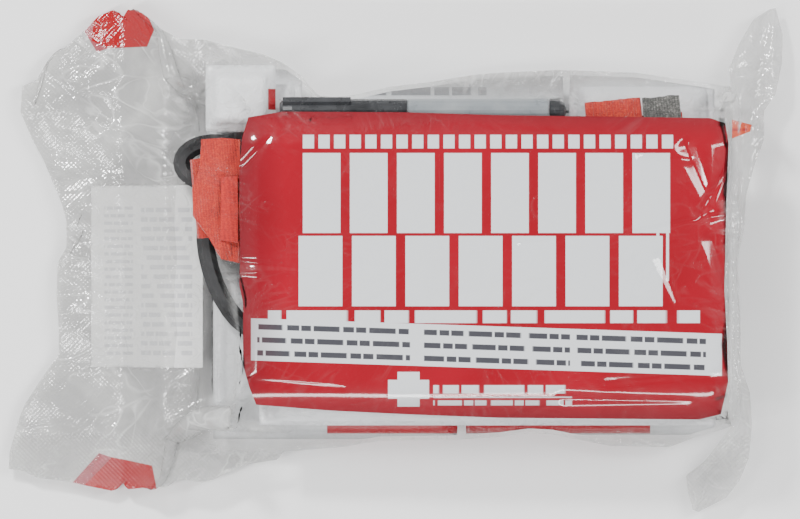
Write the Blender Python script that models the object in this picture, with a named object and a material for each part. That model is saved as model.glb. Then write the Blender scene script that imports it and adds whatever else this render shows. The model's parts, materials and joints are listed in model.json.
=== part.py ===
"""Vacuum-packed tourniquet kit: a clear film pouch with a folded windlass tourniquet and its companions.

The pouch lies on its back. +X runs along its length, from the tear-off header to the sealed end, +Y is
towards the top edge of the label card and +Z is up. The origin is the middle of the footprint.
All sizes below are millimetres; points are turned to metres where the meshes are made.
"""
import math

import bmesh
import bpy
from mathutils import Vector

MM = 0.001

# Pouch
FILM = 0.8                  # sheet thickness, thick enough to be a sound solid
HALF_GAP = 0.6              # half the space between the two sheets where nothing is sealed
SEAM_Z = 20.0               # height of the seam beside the contents
HEADER_Z = 8.0              # height of the flat header
TOP_Z = 67.6                # underside of the front sheet over the label card
WAIST_Z = 57.0              # height where the front sheet leaves the vertical
WAIST_LEFT_Z = 43.5         # the same at the low header end
TEAR_X = -132.0             # tear line between the two notches
HINGE_X = 162.0             # fold line at the sealed end
CUT = 0.4                   # space left where one film piece meets the next
LOOP_CENTRE = (21.5, 1.0)   # every ring of the sheets is measured from here
RING_POWER = 14            # squareness of the rings
FOOT = (133.5, 139.0, 91.0, 91.0)       # ring reach towards -X, +X, +Y and -Y at the seam
WAIST = (131.0, 138.5, 91.0, 91.0)
SHOULDER = (101.0, 137.9, 63.0, 72.5)
BASE = (126.0, 136.0, 82.0, 82.0)
EDGE_MARGIN = 1.6           # least width of the seam beside the contents

# Tourniquet, measured in its own frame: u along the band, v across it, z up
BAND_ORIGIN = (21.25, 40.5)
BAND_ANGLE = 5.53
BAND_LENGTH = 238.0
BAND_WIDTH = 38.0
BAND_THICK = 1.8
BAND_PITCH = 2.2
BAND_LAYERS = 4
BAND_Z = 41.5
BAND_TOP = BAND_Z + BAND_THICK + BAND_PITCH * (BAND_LAYERS - 1)
ROD_U = -10.0
ROD_LENGTH = 104.0
ROD_R = 4.0
ROD_Z = 61.9
ROD_SLOT = (23.0, 2.2)
PLATE_Z = BAND_TOP + 0.4
CLIP_U = ROD_U + 40.0
CLIP_Z = PLATE_Z + 1.9
CLIP_SIZE = (18.0, 30.0, 1.2)
CLIP_ARM = 4.1
CLIP_GAP = 9.2
STRAP_HINGE = (-11.0, 61.05)
BUCKLE_U = -79.0
BUCKLE_Z = BAND_TOP + 2.0
BUCKLE_SIZE = (30.0, 46.0, 3.0)
BUCKLE_BAR = 4.0

# Marker pen, lying along X
PEN_Y = 71.5
PEN_Z = 51.0
PEN_R = 5.6
PEN_START = -55.3
PEN_LENGTH = 137.0
CAP_LENGTH = 60.8

# Shears
SHEARS_PIVOT = (10.0, 14.0)
SHEARS_Z = 36.0             # plane where the blades slide on each other
SHEARS_BLADE = 1.6
LOOP_R = 4.6                # half the thickness of the finger loops

# Label card
LABEL_X = (-72.5, 151.0)
LABEL_THICK = 0.5


def clear_scene():
    for item in list(bpy.data.objects):
        bpy.data.objects.remove(item)


def material(name, colour, roughness, metallic=0.0, alpha=1.0):
    made = bpy.data.materials.new(name)
    made.use_nodes = True
    made.diffuse_color = (*colour, alpha)
    shader = made.node_tree.nodes["Principled BSDF"]
    shader.inputs["Base Color"].default_value = (*colour, 1.0)
    shader.inputs["Roughness"].default_value = roughness
    shader.inputs["Metallic"].default_value = metallic
    shader.inputs["Alpha"].default_value = alpha
    return made


def empty(name, x, y, z=0.0, angle=0.0):
    made = bpy.data.objects.new(name, None)
    bpy.context.scene.collection.objects.link(made)
    made.location = (x * MM, y * MM, z * MM)
    made.rotation_euler = (0.0, 0.0, math.radians(angle))
    return made


def finish_object(name, bm, mat, parent=None, origin=(0.0, 0.0, 0.0), smooth=None):
    """Turn a bmesh in millimetres into an object whose origin is at origin in its parent's frame."""
    bmesh.ops.recalc_face_normals(bm, faces=bm.faces)
    bmesh.ops.translate(bm, verts=bm.verts, vec=-Vector(origin))
    bmesh.ops.scale(bm, verts=bm.verts, vec=(MM, MM, MM))
    mesh = bpy.data.meshes.new(name)
    bm.to_mesh(mesh)
    bm.free()
    if smooth is not None:
        mesh.shade_smooth()
        mesh.set_sharp_from_angle(angle=math.radians(smooth))
    made = bpy.data.objects.new(name, mesh)
    bpy.context.scene.collection.objects.link(made)
    if mat is not None:
        made.data.materials.append(mat)
    made.location = Vector(origin) * MM
    made.parent = parent
    return made


def cut_with(target, cutter, operation="DIFFERENCE"):
    cutter.hide_render = True
    cutter.display_type = "WIRE"
    cut = target.modifiers.new(cutter.name, "BOOLEAN")
    cut.operation = operation
    cut.object = cutter
    cut.solver = "EXACT"


def bevel(target, width, segments=2, angle=40.0):
    rounded = target.modifiers.new("bevel", "BEVEL")
    rounded.width = width * MM
    rounded.segments = segments
    rounded.limit_method = "ANGLE"
    rounded.angle_limit = math.radians(angle)


def box_mesh(low, high):
    bm = bmesh.new()
    bmesh.ops.create_cube(bm, size=1.0)
    size = [b - a for a, b in zip(low, high)]
    middle = [(a + b) / 2 for a, b in zip(low, high)]
    bmesh.ops.scale(bm, verts=bm.verts, vec=size)
    bmesh.ops.translate(bm, verts=bm.verts, vec=middle)
    return bm


def block(name, low, high, mat, parent=None, round_by=0.0, segments=2):
    made = finish_object(name, box_mesh(low, high), mat, parent)
    if round_by:
        bevel(made, round_by, segments)
    return made


def prism_mesh(outline, low, high, axis="z"):
    """Extrude a closed outline of (a, b) points along an axis; a and b are the other two axes in order."""
    place = {
        "x": lambda a, b, c: (c, a, b),
        "y": lambda a, b, c: (a, c, b),
        "z": lambda a, b, c: (a, b, c),
    }[axis]
    bm = bmesh.new()
    bottom = [bm.verts.new(place(a, b, low)) for a, b in outline]
    top = [bm.verts.new(place(a, b, high)) for a, b in outline]
    bm.faces.new(bottom)
    bm.faces.new(top)
    for i in range(len(outline)):
        j = (i + 1) % len(outline)
        bm.faces.new((bottom[i], bottom[j], top[j], top[i]))
    return bm


def turned_mesh(profile, centre, axis="x", sides=20):
    """Turn a closed (distance along, radius) profile about an axis; a radius of 0 ends on the axis."""
    bm = bmesh.new()
    rings = []
    for along, radius in profile:
        if radius == 0.0:
            rings.append([bm.verts.new((along, 0.0, 0.0))])
            continue
        turn = [2 * math.pi * i / sides for i in range(sides)]
        rings.append([bm.verts.new((along, radius * math.cos(t), radius * math.sin(t))) for t in turn])
    closed = profile[0][1] != 0.0
    pairs = list(zip(rings, rings[1:])) + ([(rings[-1], rings[0])] if closed else [])
    for first, second in pairs:
        for i in range(sides):
            j = (i + 1) % sides
            corners = [first[i % len(first)], first[j % len(first)]]
            corners += [second[j % len(second)], second[i % len(second)]]
            bm.faces.new(list(dict.fromkeys(corners)))
    if axis == "z":
        for vert in bm.verts:
            x, y, z = vert.co
            vert.co = (y, z, x)
    bmesh.ops.translate(bm, verts=bm.verts, vec=centre)
    return bm


def ribbon_outline(path, thick):
    """Outline of a strip of even thickness along an open path of (a, b) points."""
    upper, lower = [], []
    for i, point in enumerate(path):
        before = Vector(path[max(i - 1, 0)])
        after = Vector(path[min(i + 1, len(path) - 1)])
        here = Vector(point)
        first = (here - before) if i else (after - here)
        second = (after - here) if i < len(path) - 1 else first
        tangent = (first.normalized() + second.normalized()).normalized()
        normal = Vector((-tangent.y, tangent.x))
        reach = thick / 2 / max(normal.dot(Vector((-first.y, first.x)).normalized()), 0.5)
        upper.append(tuple(here + normal * reach))
        lower.append(tuple(here - normal * reach))
    return upper + lower[::-1]


def arc(centre, radius, start, end, steps):
    turn = [math.radians(start + (end - start) * i / steps) for i in range(steps + 1)]
    return [(centre[0] + radius * math.cos(t), centre[1] + radius * math.sin(t)) for t in turn]


# ---- pouch ----

TOP_EDGE = [
    (TEAR_X + CUT, 117.0), (-124.5, 119.2), (-116.5, 115.0), (-104.0, 107.0), (-92.8, 106.4),
    (-78.6, 102.6), (-64.3, 99.3), (-54.3, 95.0), (-45.3, 88.8), (-37.5, 80.2), (-28.7, 79.4),
    (-18.7, 81.0), (-2.6, 84.0), (18.0, 86.4), (49.7, 90.3), (78.2, 91.7), (116.2, 90.3),
    (142.3, 86.5), (HINGE_X - CUT, 83.0),
]
BOTTOM_EDGE = [
    (HINGE_X - CUT, -81.0), (151.0, -83.0), (144.7, -86.0), (131.9, -90.3), (104.0, -89.8),
    (75.4, -86.0), (49.7, -86.0), (26.0, -87.2), (-7.3, -88.0), (-25.8, -90.3), (-54.3, -92.6),
    (-70.0, -98.3), (-87.6, -105.9), (-105.2, -106.0), (-115.6, -109.7), (TEAR_X + CUT, -108.5),
]
HEADER_EDGE = [
    (TEAR_X - CUT, 117.0), (-136.5, 121.1), (-144.1, 117.8), (-149.8, 111.6), (-159.3, 103.6),
    (-168.8, 96.0), (-174.0, 86.9), (-180.7, 84.1), (-181.6, 71.7), (-175.9, 58.0), (-161.7, 27.6),
    (-159.3, 12.0), (-163.6, -1.4), (-164.1, -30.0), (-163.1, -45.6), (-172.1, -58.4), (-182.6, -77.4),
    (-187.5, -96.0), (-187.3, -101.2), (-173.6, -105.5), (-156.5, -107.8), (-136.5, -112.1),
    (TEAR_X - CUT, -108.5),
]
# The sealed end as rungs from the upper ear's tip to the lower ear's tip: (inner point, outer point)
END_RUNGS = [
    ((181.0, 121.2), (184.1, 122.0)), ((173.2, 116.4), (187.5, 109.3)), ((166.1, 104.5), (187.0, 95.0)),
    ((161.0, 92.6), (183.5, 80.0)), ((162.4, 80.0), (178.0, 72.0)), ((162.4, 60.0), (178.0, 58.0)),
    ((162.4, 45.0), (173.5, 46.0)), ((162.4, 30.0), (169.5, 32.0)), ((162.4, 15.0), (168.5, 16.0)),
    ((162.4, 0.0), (165.2, 0.0)), ((162.4, -30.0), (166.5, -30.0)), ((162.4, -50.0), (166.5, -50.0)),
    ((162.4, -66.0), (171.2, -64.0)), ((162.4, -80.0), (172.2, -80.0)), ((154.0, -91.0), (170.5, -96.0)),
    ((149.0, -97.5), (166.0, -107.0)), ((140.5, -104.0), (159.9, -115.0)),
    ((141.4, -111.6), (153.0, -118.5)), ((143.8, -120.9), (146.6, -122.0)),
]
RIM_STEP = 10.0             # longest straight stretch along the rim of a sheet


def fill_in(points, longest):
    """The same closed outline with its long edges divided."""
    filled = []
    for i, start in enumerate(points):
        end = points[(i + 1) % len(points)]
        pieces = max(1, math.ceil(math.dist(start, end) / longest))
        for k in range(pieces):
            share = k / pieces
            filled.append(tuple(a + (b - a) * share for a, b in zip(start, end)))
    return filled


def ring_reach(angle, reach):
    """Distance from LOOP_CENTRE to a squarish ring at an angle."""
    across = reach[0] if math.cos(angle) < 0 else reach[1]
    along = reach[2] if math.sin(angle) > 0 else reach[3]
    total = abs(math.cos(angle) / across) ** RING_POWER + abs(math.sin(angle) / along) ** RING_POWER
    return total ** (-1.0 / RING_POWER)


def seam_height(x):
    """Height of the middle of the seam: flat in the header, rising to the contents."""
    foot_x = LOOP_CENTRE[0] - FOOT[0]
    share = (x - TEAR_X) / (foot_x - TEAR_X)
    return HEADER_Z + (SEAM_Z - HEADER_Z) * min(max(share, 0.0), 1.0)


def waist_height(x):
    share = (x + 110.0) / 20.0
    return WAIST_LEFT_Z + (WAIST_Z - WAIST_LEFT_Z) * min(max(share, 0.0), 1.0)


def sheet_mesh(inner_rings, outer_rings):
    """Close two stacks of rings, rim first and cap last, into one sheet."""
    bm = bmesh.new()
    layers = []
    for rings in (inner_rings, outer_rings):
        layers.append([[bm.verts.new(point) for point in ring] for ring in rings])
    for layer in layers:
        for first, second in zip(layer, layer[1:]):
            for i in range(len(first)):
                j = (i + 1) % len(first)
                bm.faces.new((first[i], first[j], second[j]))
                bm.faces.new((first[i], second[j], second[i]))
        bm.faces.new(layer[-1])
    for i in range(len(layers[0][0])):
        j = (i + 1) % len(layers[0][0])
        rim = (layers[0][0][i], layers[0][0][j], layers[1][0][j], layers[1][0][i])
        bm.faces.new(rim)
    return bm


def film_rings(steps):
    """Rings from steps of (reach, inset, height, outward, upward); a reach of None is the rim itself."""
    rim = fill_in(TOP_EDGE + BOTTOM_EDGE, RIM_STEP)
    stacks = [[], []]
    for reach, inset, height, outward, upward in steps:
        for side in (0, 1):
            ring = []
            for x, y in rim:
                away = Vector((x - LOOP_CENTRE[0], y - LOOP_CENTRE[1]))
                edge = away.length
                angle = math.atan2(away.y, away.x)
                far = edge if reach is None else min(ring_reach(angle, reach), edge - inset)
                z = height(LOOP_CENTRE[0] + far * math.cos(angle))
                far += outward * side
                point = (LOOP_CENTRE[0] + far * math.cos(angle), LOOP_CENTRE[1] + far * math.sin(angle))
                ring.append((*point, z + upward * side))
            stacks[side].append(ring)
    return stacks


def make_front_film(mat):
    steps = [
        (None, 0.0, lambda x: seam_height(x) + HALF_GAP, 0.0, FILM),
        (FOOT, EDGE_MARGIN, lambda x: seam_height(x) + HALF_GAP, FILM, FILM),
        (WAIST, EDGE_MARGIN + 0.2, waist_height, FILM, FILM * 0.3),
        (SHOULDER, EDGE_MARGIN + 3.0, lambda x: TOP_Z, FILM * 0.5, FILM),
    ]
    inner, outer = film_rings(steps)
    return finish_object("front_film", sheet_mesh(inner, outer), mat, origin=(HINGE_X, 0.0, SEAM_Z))


def make_back_film(mat):
    steps = [
        (None, 0.0, lambda x: seam_height(x) - HALF_GAP, 0.0, -FILM),
        (FOOT, EDGE_MARGIN, lambda x: seam_height(x) - HALF_GAP, FILM, -FILM),
        (BASE, EDGE_MARGIN + 4.0, lambda x: FILM, FILM * 0.5, -FILM),
    ]
    inner, outer = film_rings(steps)
    return finish_object("back_film", sheet_mesh(inner, outer), mat)


def end_height(x, y):
    """The sealed end droops from the seam towards its two ears."""
    beyond = math.hypot(max(0.0, x - HINGE_X), max(0.0, abs(y) - 84.0))
    return SEAM_Z - 0.26 * beyond


def make_end_seal(mat):
    bm = bmesh.new()
    half = HALF_GAP + FILM
    sheets = []
    for side in (-half, half):
        sheets.append([
            [bm.verts.new((x, y, end_height(x, y) + side)) for x, y in rung] for rung in END_RUNGS
        ])
    low, high = sheets
    for sheet in sheets:
        for first, second in zip(sheet, sheet[1:]):
            bm.faces.new((first[0], first[1], second[1]))
            bm.faces.new((first[0], second[1], second[0]))
    for i in range(len(END_RUNGS) - 1):
        for side in (0, 1):
            bm.faces.new((low[i][side], low[i + 1][side], high[i + 1][side], high[i][side]))
    for i in (0, -1):
        bm.faces.new((low[i][0], low[i][1], high[i][1], high[i][0]))
    return finish_object("end_seal", bm, mat)


def make_tear_strip(mat):
    half = HALF_GAP + FILM
    strip = finish_object("tear_strip", prism_mesh(HEADER_EDGE, HEADER_Z - half, HEADER_Z + half), mat)
    pocket = block(
        "card_pocket", (-149.5, -57.0, HEADER_Z - HALF_GAP), (-125.0, 41.0, HEADER_Z + HALF_GAP), None)
    cut_with(strip, pocket)
    return strip


def make_instruction_card(mat):
    """The card lies flat in the header and bends up towards the contents."""
    foot_x = LOOP_CENTRE[0] - FOOT[0]
    path = [(-147.5, HEADER_Z), (TEAR_X, HEADER_Z), (foot_x, SEAM_Z), (-93.0, SEAM_Z + 1.0)]
    return finish_object("instruction_card", prism_mesh(ribbon_outline(path, 0.5), -52.0, 36.0, "y"), mat)


def make_label_card(mat):
    """One stiff card over the contents, bent down along its upper and lower edges."""
    path = [(70.0, 59.8), (64.0, 63.6), (56.0, 66.5), (-57.0, 66.5), (-68.0, 63.4), (-74.5, 60.1)]
    outline = ribbon_outline(path, LABEL_THICK)
    return finish_object(
        "label_card", prism_mesh(outline, *LABEL_X, "x"), mat, origin=(HINGE_X, 0.0, SEAM_Z))


# ---- tourniquet ----

def make_band(mat, parent):
    """The band, folded in four: one continuous strip with round folds at both ends."""
    half = BAND_LENGTH / 2 - BAND_PITCH / 2 - BAND_THICK / 2
    middle = BAND_Z + BAND_THICK / 2
    path = [(-half, middle)]
    for layer in range(BAND_LAYERS - 1):
        side = 1 if layer % 2 == 0 else -1
        centre = (side * half, middle + BAND_PITCH * (layer + 0.5))
        start = -90 if side > 0 else 270
        path += arc(centre, BAND_PITCH / 2, start, 90, 6)
    path.append((-half, middle + BAND_PITCH * (BAND_LAYERS - 1)))
    outline = ribbon_outline(path, BAND_THICK)
    return finish_object("band", prism_mesh(outline, -BAND_WIDTH / 2, BAND_WIDTH / 2, "y"), mat, parent)


def make_running_strap(mat, parent):
    """The stretch of band that threads the buckle: under, over the middle bar, and under again."""
    low = BAND_TOP + 1.05
    high = BUCKLE_Z + BUCKLE_SIZE[2] + 0.95
    path = [(BUCKLE_U - 29.0, low), (BUCKLE_U - 10.3, low), (BUCKLE_U - 3.8, high)]
    path += [(BUCKLE_U + 3.8, high), (BUCKLE_U + 10.3, low), (BUCKLE_U + 17.0, low)]
    strap = prism_mesh(ribbon_outline(path, 1.3), -18.0, 18.0, "y")
    return finish_object("running_strap", strap, mat, parent)


def make_buckle(mat, parent):
    length, width, thick = BUCKLE_SIZE
    low = (BUCKLE_U - length / 2, -width / 2, BUCKLE_Z)
    high = (BUCKLE_U + length / 2, width / 2, BUCKLE_Z + thick)
    buckle = block("buckle", low, high, mat, parent)
    slot = (length - 3 * BUCKLE_BAR) / 2
    for side in (-1, 1):
        middle = BUCKLE_U + side * (BUCKLE_BAR + slot) / 2
        hole = block(
            f"buckle_slot_{side}", (middle - slot / 2, -19.0, BUCKLE_Z - 1),
            (middle + slot / 2, 19.0, high[2] + 1), None, parent)
        cut_with(buckle, hole)
    bevel(buckle, 0.7, 1)
    return buckle


def make_base_plate(mat, parent):
    low = (ROD_U - 47.0, -17.0, PLATE_Z)
    high = (ROD_U + 62.0, 17.0, PLATE_Z + 1.6)
    plate = block("base_plate", low, high, mat, parent)
    bevel(plate, 0.5, 1)
    return plate


def make_clip(mat, parent):
    """The clip: a flat foot and two upright arms that hold the rod's end between them."""
    length, width, thick = CLIP_SIZE
    inner = CLIP_GAP / 2
    outer = inner + 3.0
    top = CLIP_Z + thick + CLIP_ARM
    outline = [
        (-width / 2, CLIP_Z), (width / 2, CLIP_Z), (width / 2, CLIP_Z + thick), (outer, CLIP_Z + thick),
        (outer - 0.6, top), (inner, top), (inner, CLIP_Z + thick), (-inner, CLIP_Z + thick), (-inner, top),
        (0.6 - outer, top), (-outer, CLIP_Z + thick), (-width / 2, CLIP_Z + thick),
    ]
    return finish_object(
        "windlass_clip", prism_mesh(outline, CLIP_U - length / 2, CLIP_U + length / 2, "x"), mat, parent)


def make_rod(mat, parent):
    """The windlass rod, with a slot through its middle for the ribbon; parent is on its turning axis."""
    half = ROD_LENGTH / 2
    profile = [(-half, 0.0), (-half, 2.2), (-half + 1.2, 3.4), (-half + 4.0, ROD_R)]
    profile += [(-16.0, ROD_R), (16.0, ROD_R), (half - 4.0, ROD_R)]
    profile += [(half - 1.2, 3.4), (half, 2.2), (half, 0.0)]
    rod = finish_object("windlass_rod", turned_mesh(profile, (0.0, 0.0, 0.0)), mat, parent, smooth=35)
    slot = block(
        "rod_slot", (-ROD_SLOT[0] / 2, -10.0, -ROD_SLOT[1] / 2), (ROD_SLOT[0] / 2, 10.0, ROD_SLOT[1] / 2),
        None, parent)
    cut_with(rod, slot)
    return rod


def make_ribbon(mat, parent):
    """The inner ribbon comes up beside the rod, passes through its slot and goes down again."""
    foot = PLATE_Z + 2.2
    path = [(-7.2, foot), (-6.4, ROD_Z - 1.9), (-4.9, ROD_Z), (4.9, ROD_Z), (6.4, ROD_Z - 1.9), (7.2, foot)]
    outline = ribbon_outline(path, 1.1)
    ribbon = prism_mesh(outline, ROD_U - 10.0, ROD_U + 10.0, "x")
    return finish_object("inner_ribbon", ribbon, mat, parent)


def make_time_strap(mat, parent):
    """The strap that folds over the rod and clip; its parent is on the fold line."""
    v, z = STRAP_HINGE
    low = (CLIP_U - 9.0, v - 29.0, z - 6.05)
    high = (CLIP_U + 9.0, v - 0.5, z - 5.25)
    strap = finish_object("time_strap", box_mesh(low, high), mat, parent, origin=(CLIP_U, v, z))
    return strap


def make_tail(orange, hook, parent):
    """The band's free end, folded askew over the stack, with its tip of hook tape."""
    block("band_tail", (72.0, 2.0, BAND_TOP + 0.4), (98.8, 28.0, BAND_TOP + 3.8), orange, parent, 1.2)
    block("hook_tip", (99.3, 6.0, BAND_TOP + 0.4), (117.5, 27.5, BAND_TOP + 2.8), hook, parent, 0.8)


def make_tourniquet(mats):
    frame = empty("tourniquet_frame", *BAND_ORIGIN, angle=BAND_ANGLE)
    rod_axis = empty("windlass_axis", ROD_U, 0.0, ROD_Z)
    rod_axis.parent = frame
    make_band(mats["orange"], frame)
    make_running_strap(mats["orange"], frame)
    make_buckle(mats["black"], frame)
    make_base_plate(mats["black"], frame)
    make_clip(mats["black"], frame)
    make_rod(mats["black"], rod_axis)
    make_ribbon(mats["ribbon"], frame)
    make_time_strap(mats["grey_strap"], frame)
    make_tail(mats["orange"], mats["hook"], frame)


# ---- marker ----

def make_marker(mats):
    end = PEN_START + PEN_LENGTH
    seat = PEN_START + CAP_LENGTH
    cap_r = PEN_R - 0.2
    cap = [
        (PEN_START, 0.0), (PEN_START, 3.4), (PEN_START + 1.5, cap_r - 0.5), (PEN_START + 6.0, cap_r),
        (seat, cap_r), (seat, 4.9), (seat - 42.0, 4.7), (seat - 42.0, 0.0),
    ]
    cap_object = finish_object(
        "marker_cap", turned_mesh(cap, (0.0, PEN_Y, PEN_Z)), mats["black"],
        origin=(seat, PEN_Y, PEN_Z), smooth=35)
    clip_frame = empty("pen_clip_frame", 0.0, PEN_Y, PEN_Z)
    clip_frame.rotation_euler = (math.radians(-45.0), 0.0, 0.0)
    clip = block("pen_clip", (PEN_START + 1.6, -1.6, 4.6), (PEN_START + 34.0, 1.6, 7.1), None, clip_frame)
    cut_with(cap_object, clip, "UNION")
    barrel = [
        (seat - 26.0, 0.0), (seat - 26.0, 1.9), (seat - 22.0, 2.6), (seat - 20.0, 4.3), (seat - 0.2, 4.5),
        (seat + 0.4, 5.0), (seat + 1.0, PEN_R), (end - 9.0, PEN_R), (end - 8.6, 5.0), (end - 8.6, 0.0),
    ]
    finish_object("marker_barrel", turned_mesh(barrel, (0.0, PEN_Y, PEN_Z)), mats["barrel"], smooth=35)
    plug = [
        (end - 8.2, 0.0), (end - 8.2, 5.0), (end - 7.8, PEN_R), (end - 3.5, PEN_R - 0.5), (end - 1.0, 3.6),
        (end, 1.6), (end, 0.0),
    ]
    finish_object("marker_plug", turned_mesh(plug, (0.0, PEN_Y, PEN_Z)), mats["barrel"], smooth=50)
    nib = [(seat - 36.0, 0.0), (seat - 36.0, 0.5), (seat - 33.5, 1.2)]
    nib += [(seat - 26.4, 1.2), (seat - 26.4, 0.0)]
    finish_object("marker_nib", turned_mesh(nib, (0.0, PEN_Y, PEN_Z), sides=12), mats["felt"], smooth=50)


# ---- shears ----

def loop_mesh(centre, radii, tilt, sides=26, around=8):
    """A finger loop: a round bar bent to an ellipse."""
    bm = bmesh.new()
    turn = math.radians(tilt)
    rings = []
    for i in range(sides):
        t = 2 * math.pi * i / sides
        middle = Vector((radii[0] * math.cos(t), radii[1] * math.sin(t)))
        outward = Vector((math.cos(t) / radii[0], math.sin(t) / radii[1])).normalized()
        ring = []
        for k in range(around):
            s = 2 * math.pi * (k + 0.5) / around
            flat = middle + outward * LOOP_R * math.cos(s)
            x = centre[0] + flat.x * math.cos(turn) - flat.y * math.sin(turn)
            y = centre[1] + flat.x * math.sin(turn) + flat.y * math.cos(turn)
            ring.append(bm.verts.new((x, y, SHEARS_Z + LOOP_R * math.sin(s))))
        rings.append(ring)
    for i in range(sides):
        for k in range(around):
            m = (k + 1) % around
            first, second = rings[i], rings[(i + 1) % sides]
            bm.faces.new((first[k], second[k], second[m], first[m]))
    return bm


def make_handle(name, centre, radii, tilt, shank, tang, mat, origin):
    handle = finish_object(name, loop_mesh(centre, radii, tilt), mat, origin=origin, smooth=60)
    arm = finish_object(name + "_shank", prism_mesh(shank, SHEARS_Z - 3.8, SHEARS_Z + 3.8), None)
    bevel(arm, 1.2, 2)
    cut_with(handle, arm, "UNION")
    low, high = tang
    slot = block(name + "_tang_slot", low, high, None)
    cut_with(handle, slot)
    return handle


def blade_outline(side):
    """A blade from its tang to its tip; side is +1 where the tang lies towards +Y."""
    x, y = SHEARS_PIVOT
    shape = [
        (-30.0, 8.5), (-12.0, 6.5), (-4.0, 8.0), (6.0, 7.5), (30.0, 3.0), (58.0, 0.5), (66.0, -2.0),
        (67.0, -4.0), (64.0, -5.0), (40.0, -5.0), (10.0, -6.5), (-5.0, -5.5), (-14.0, 1.5), (-30.0, 4.0),
    ]
    points = [(x + a, y - 1.0 + side * (b + 1.0)) for a, b in shape]
    return points if side > 0 else points[::-1]


def make_shears(mats):
    x, y = SHEARS_PIVOT
    origin = (x, y, SHEARS_Z)
    gap = 0.2
    levels = {"upper": (SHEARS_Z + gap, 1), "lower": (SHEARS_Z - gap - SHEARS_BLADE, -1)}
    pin = turned_mesh([(-8.0, 0.0), (-8.0, 3.3), (8.0, 3.3), (8.0, 0.0)], (x, y, SHEARS_Z), "z")
    pin_hole = finish_object("pin_hole", pin, None)
    for name, (low, side) in levels.items():
        bm = prism_mesh(blade_outline(side), low, low + SHEARS_BLADE)
        blade = finish_object("blade_" + name, bm, mats["steel"], origin=origin)
        cut_with(blade, pin_hole)
    inner = SHEARS_BLADE + gap
    profile = [
        (-inner - 1.6, 0.0), (-inner - 1.6, 4.2), (-inner - 0.3, 5.0), (-inner - 0.3, 3.0), (inner + 0.3, 3.0),
        (inner + 0.3, 5.0), (inner + 1.6, 4.2), (inner + 1.6, 0.0),
    ]
    finish_object("shears_pivot", turned_mesh(profile, (x, y, SHEARS_Z), "z"), mats["steel"], smooth=30)
    thumb_shank = [(-73.0, 38.0), (-40.0, 28.0), (-6.5, 16.5), (-6.5, 25.5), (-40.0, 37.0), (-72.0, 47.0)]
    finger_shank = [(-66.0, -14.0), (-40.0, -4.0), (-6.5, 3.0), (-6.5, 12.5), (-40.0, 9.0), (-66.0, 2.0)]
    make_handle(
        "thumb_handle", (-87.0, 46.5), (15.4, 9.6), 0.0, thumb_shank,
        ((-22.0, 14.0, SHEARS_Z + gap - 0.3), (0.0, 24.0, SHEARS_Z + gap + SHEARS_BLADE + 0.3)),
        mats["black"], origin)
    make_handle(
        "finger_handle", (-75.0, -3.5), (31.4, 13.4), 109.0, finger_shank,
        ((-22.0, 3.0, SHEARS_Z - gap - SHEARS_BLADE - 0.3), (0.0, 13.5, SHEARS_Z - gap + 0.3)),
        mats["black"], origin)


# ---- soft packs ----

PACKS = {
    # name: (low corner, high corner, edge rounding, material)
    "chest_seal_1": ((-26.0, -74.0, 1.2), (141.0, 70.0, 3.2), 0.6, "foil"),
    "chest_seal_2": ((-24.0, -73.0, 3.6), (143.0, 70.0, 5.6), 0.6, "foil"),
    "compressed_gauze_1": ((-86.0, 4.0, 6.2), (-46.0, 82.0, 29.6), 5.0, "white"),
    "compressed_gauze_2": ((84.0, 0.0, 6.2), (153.0, 78.0, 29.6), 5.0, "white"),
    "hemostatic_gauze": ((-27.0, 0.0, 6.2), (80.0, 74.0, 27.6), 5.0, "foil"),
    "gloves_1": ((-86.0, -80.0, 6.2), (30.0, -6.0, 29.6), 6.0, "white"),
    "gloves_2": ((34.0, -78.0, 6.2), (153.0, -6.0, 29.6), 6.0, "white"),
    "trauma_dressing": ((-60.0, -79.0, 41.6), (152.0, -13.0, 60.8), 9.5, "white"),
}


def main():
    clear_scene()
    mats = {
        "film": material("clear_film", (0.80, 0.80, 0.78), 0.15, alpha=0.35),
        "label": material("label_card", (0.60, 0.03, 0.06), 0.35),
        "orange": material("orange_webbing", (0.85, 0.16, 0.05), 0.85),
        "ribbon": material("ribbon_webbing", (0.65, 0.05, 0.04), 0.80),
        "hook": material("hook_tape", (0.08, 0.08, 0.09), 0.80),
        "grey_strap": material("grey_webbing", (0.55, 0.56, 0.57), 0.80),
        "black": material("black_plastic", (0.03, 0.03, 0.03), 0.45),
        "barrel": material("grey_plastic", (0.30, 0.31, 0.33), 0.35),
        "felt": material("felt", (0.02, 0.02, 0.02), 0.95),
        "steel": material("steel", (0.62, 0.62, 0.63), 0.30, 1.0),
        "white": material("white_wrap", (0.78, 0.78, 0.80), 0.40),
        "foil": material("foil_wrap", (0.62, 0.63, 0.66), 0.30),
        "paper": material("paper", (0.80, 0.80, 0.78), 0.70),
    }
    make_back_film(mats["film"])
    make_front_film(mats["film"])
    make_end_seal(mats["film"])
    make_tear_strip(mats["film"])
    make_instruction_card(mats["paper"])
    make_label_card(mats["label"])
    make_tourniquet(mats)
    make_marker(mats)
    make_shears(mats)
    for name, (low, high, rounding, key) in PACKS.items():
        block(name, low, high, mats[key], round_by=rounding, segments=1 if rounding < 1 else 3)


main()
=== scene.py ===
"""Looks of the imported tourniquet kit: wrinkled clear film, printed label card and the goods under them."""
import json
import math

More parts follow.
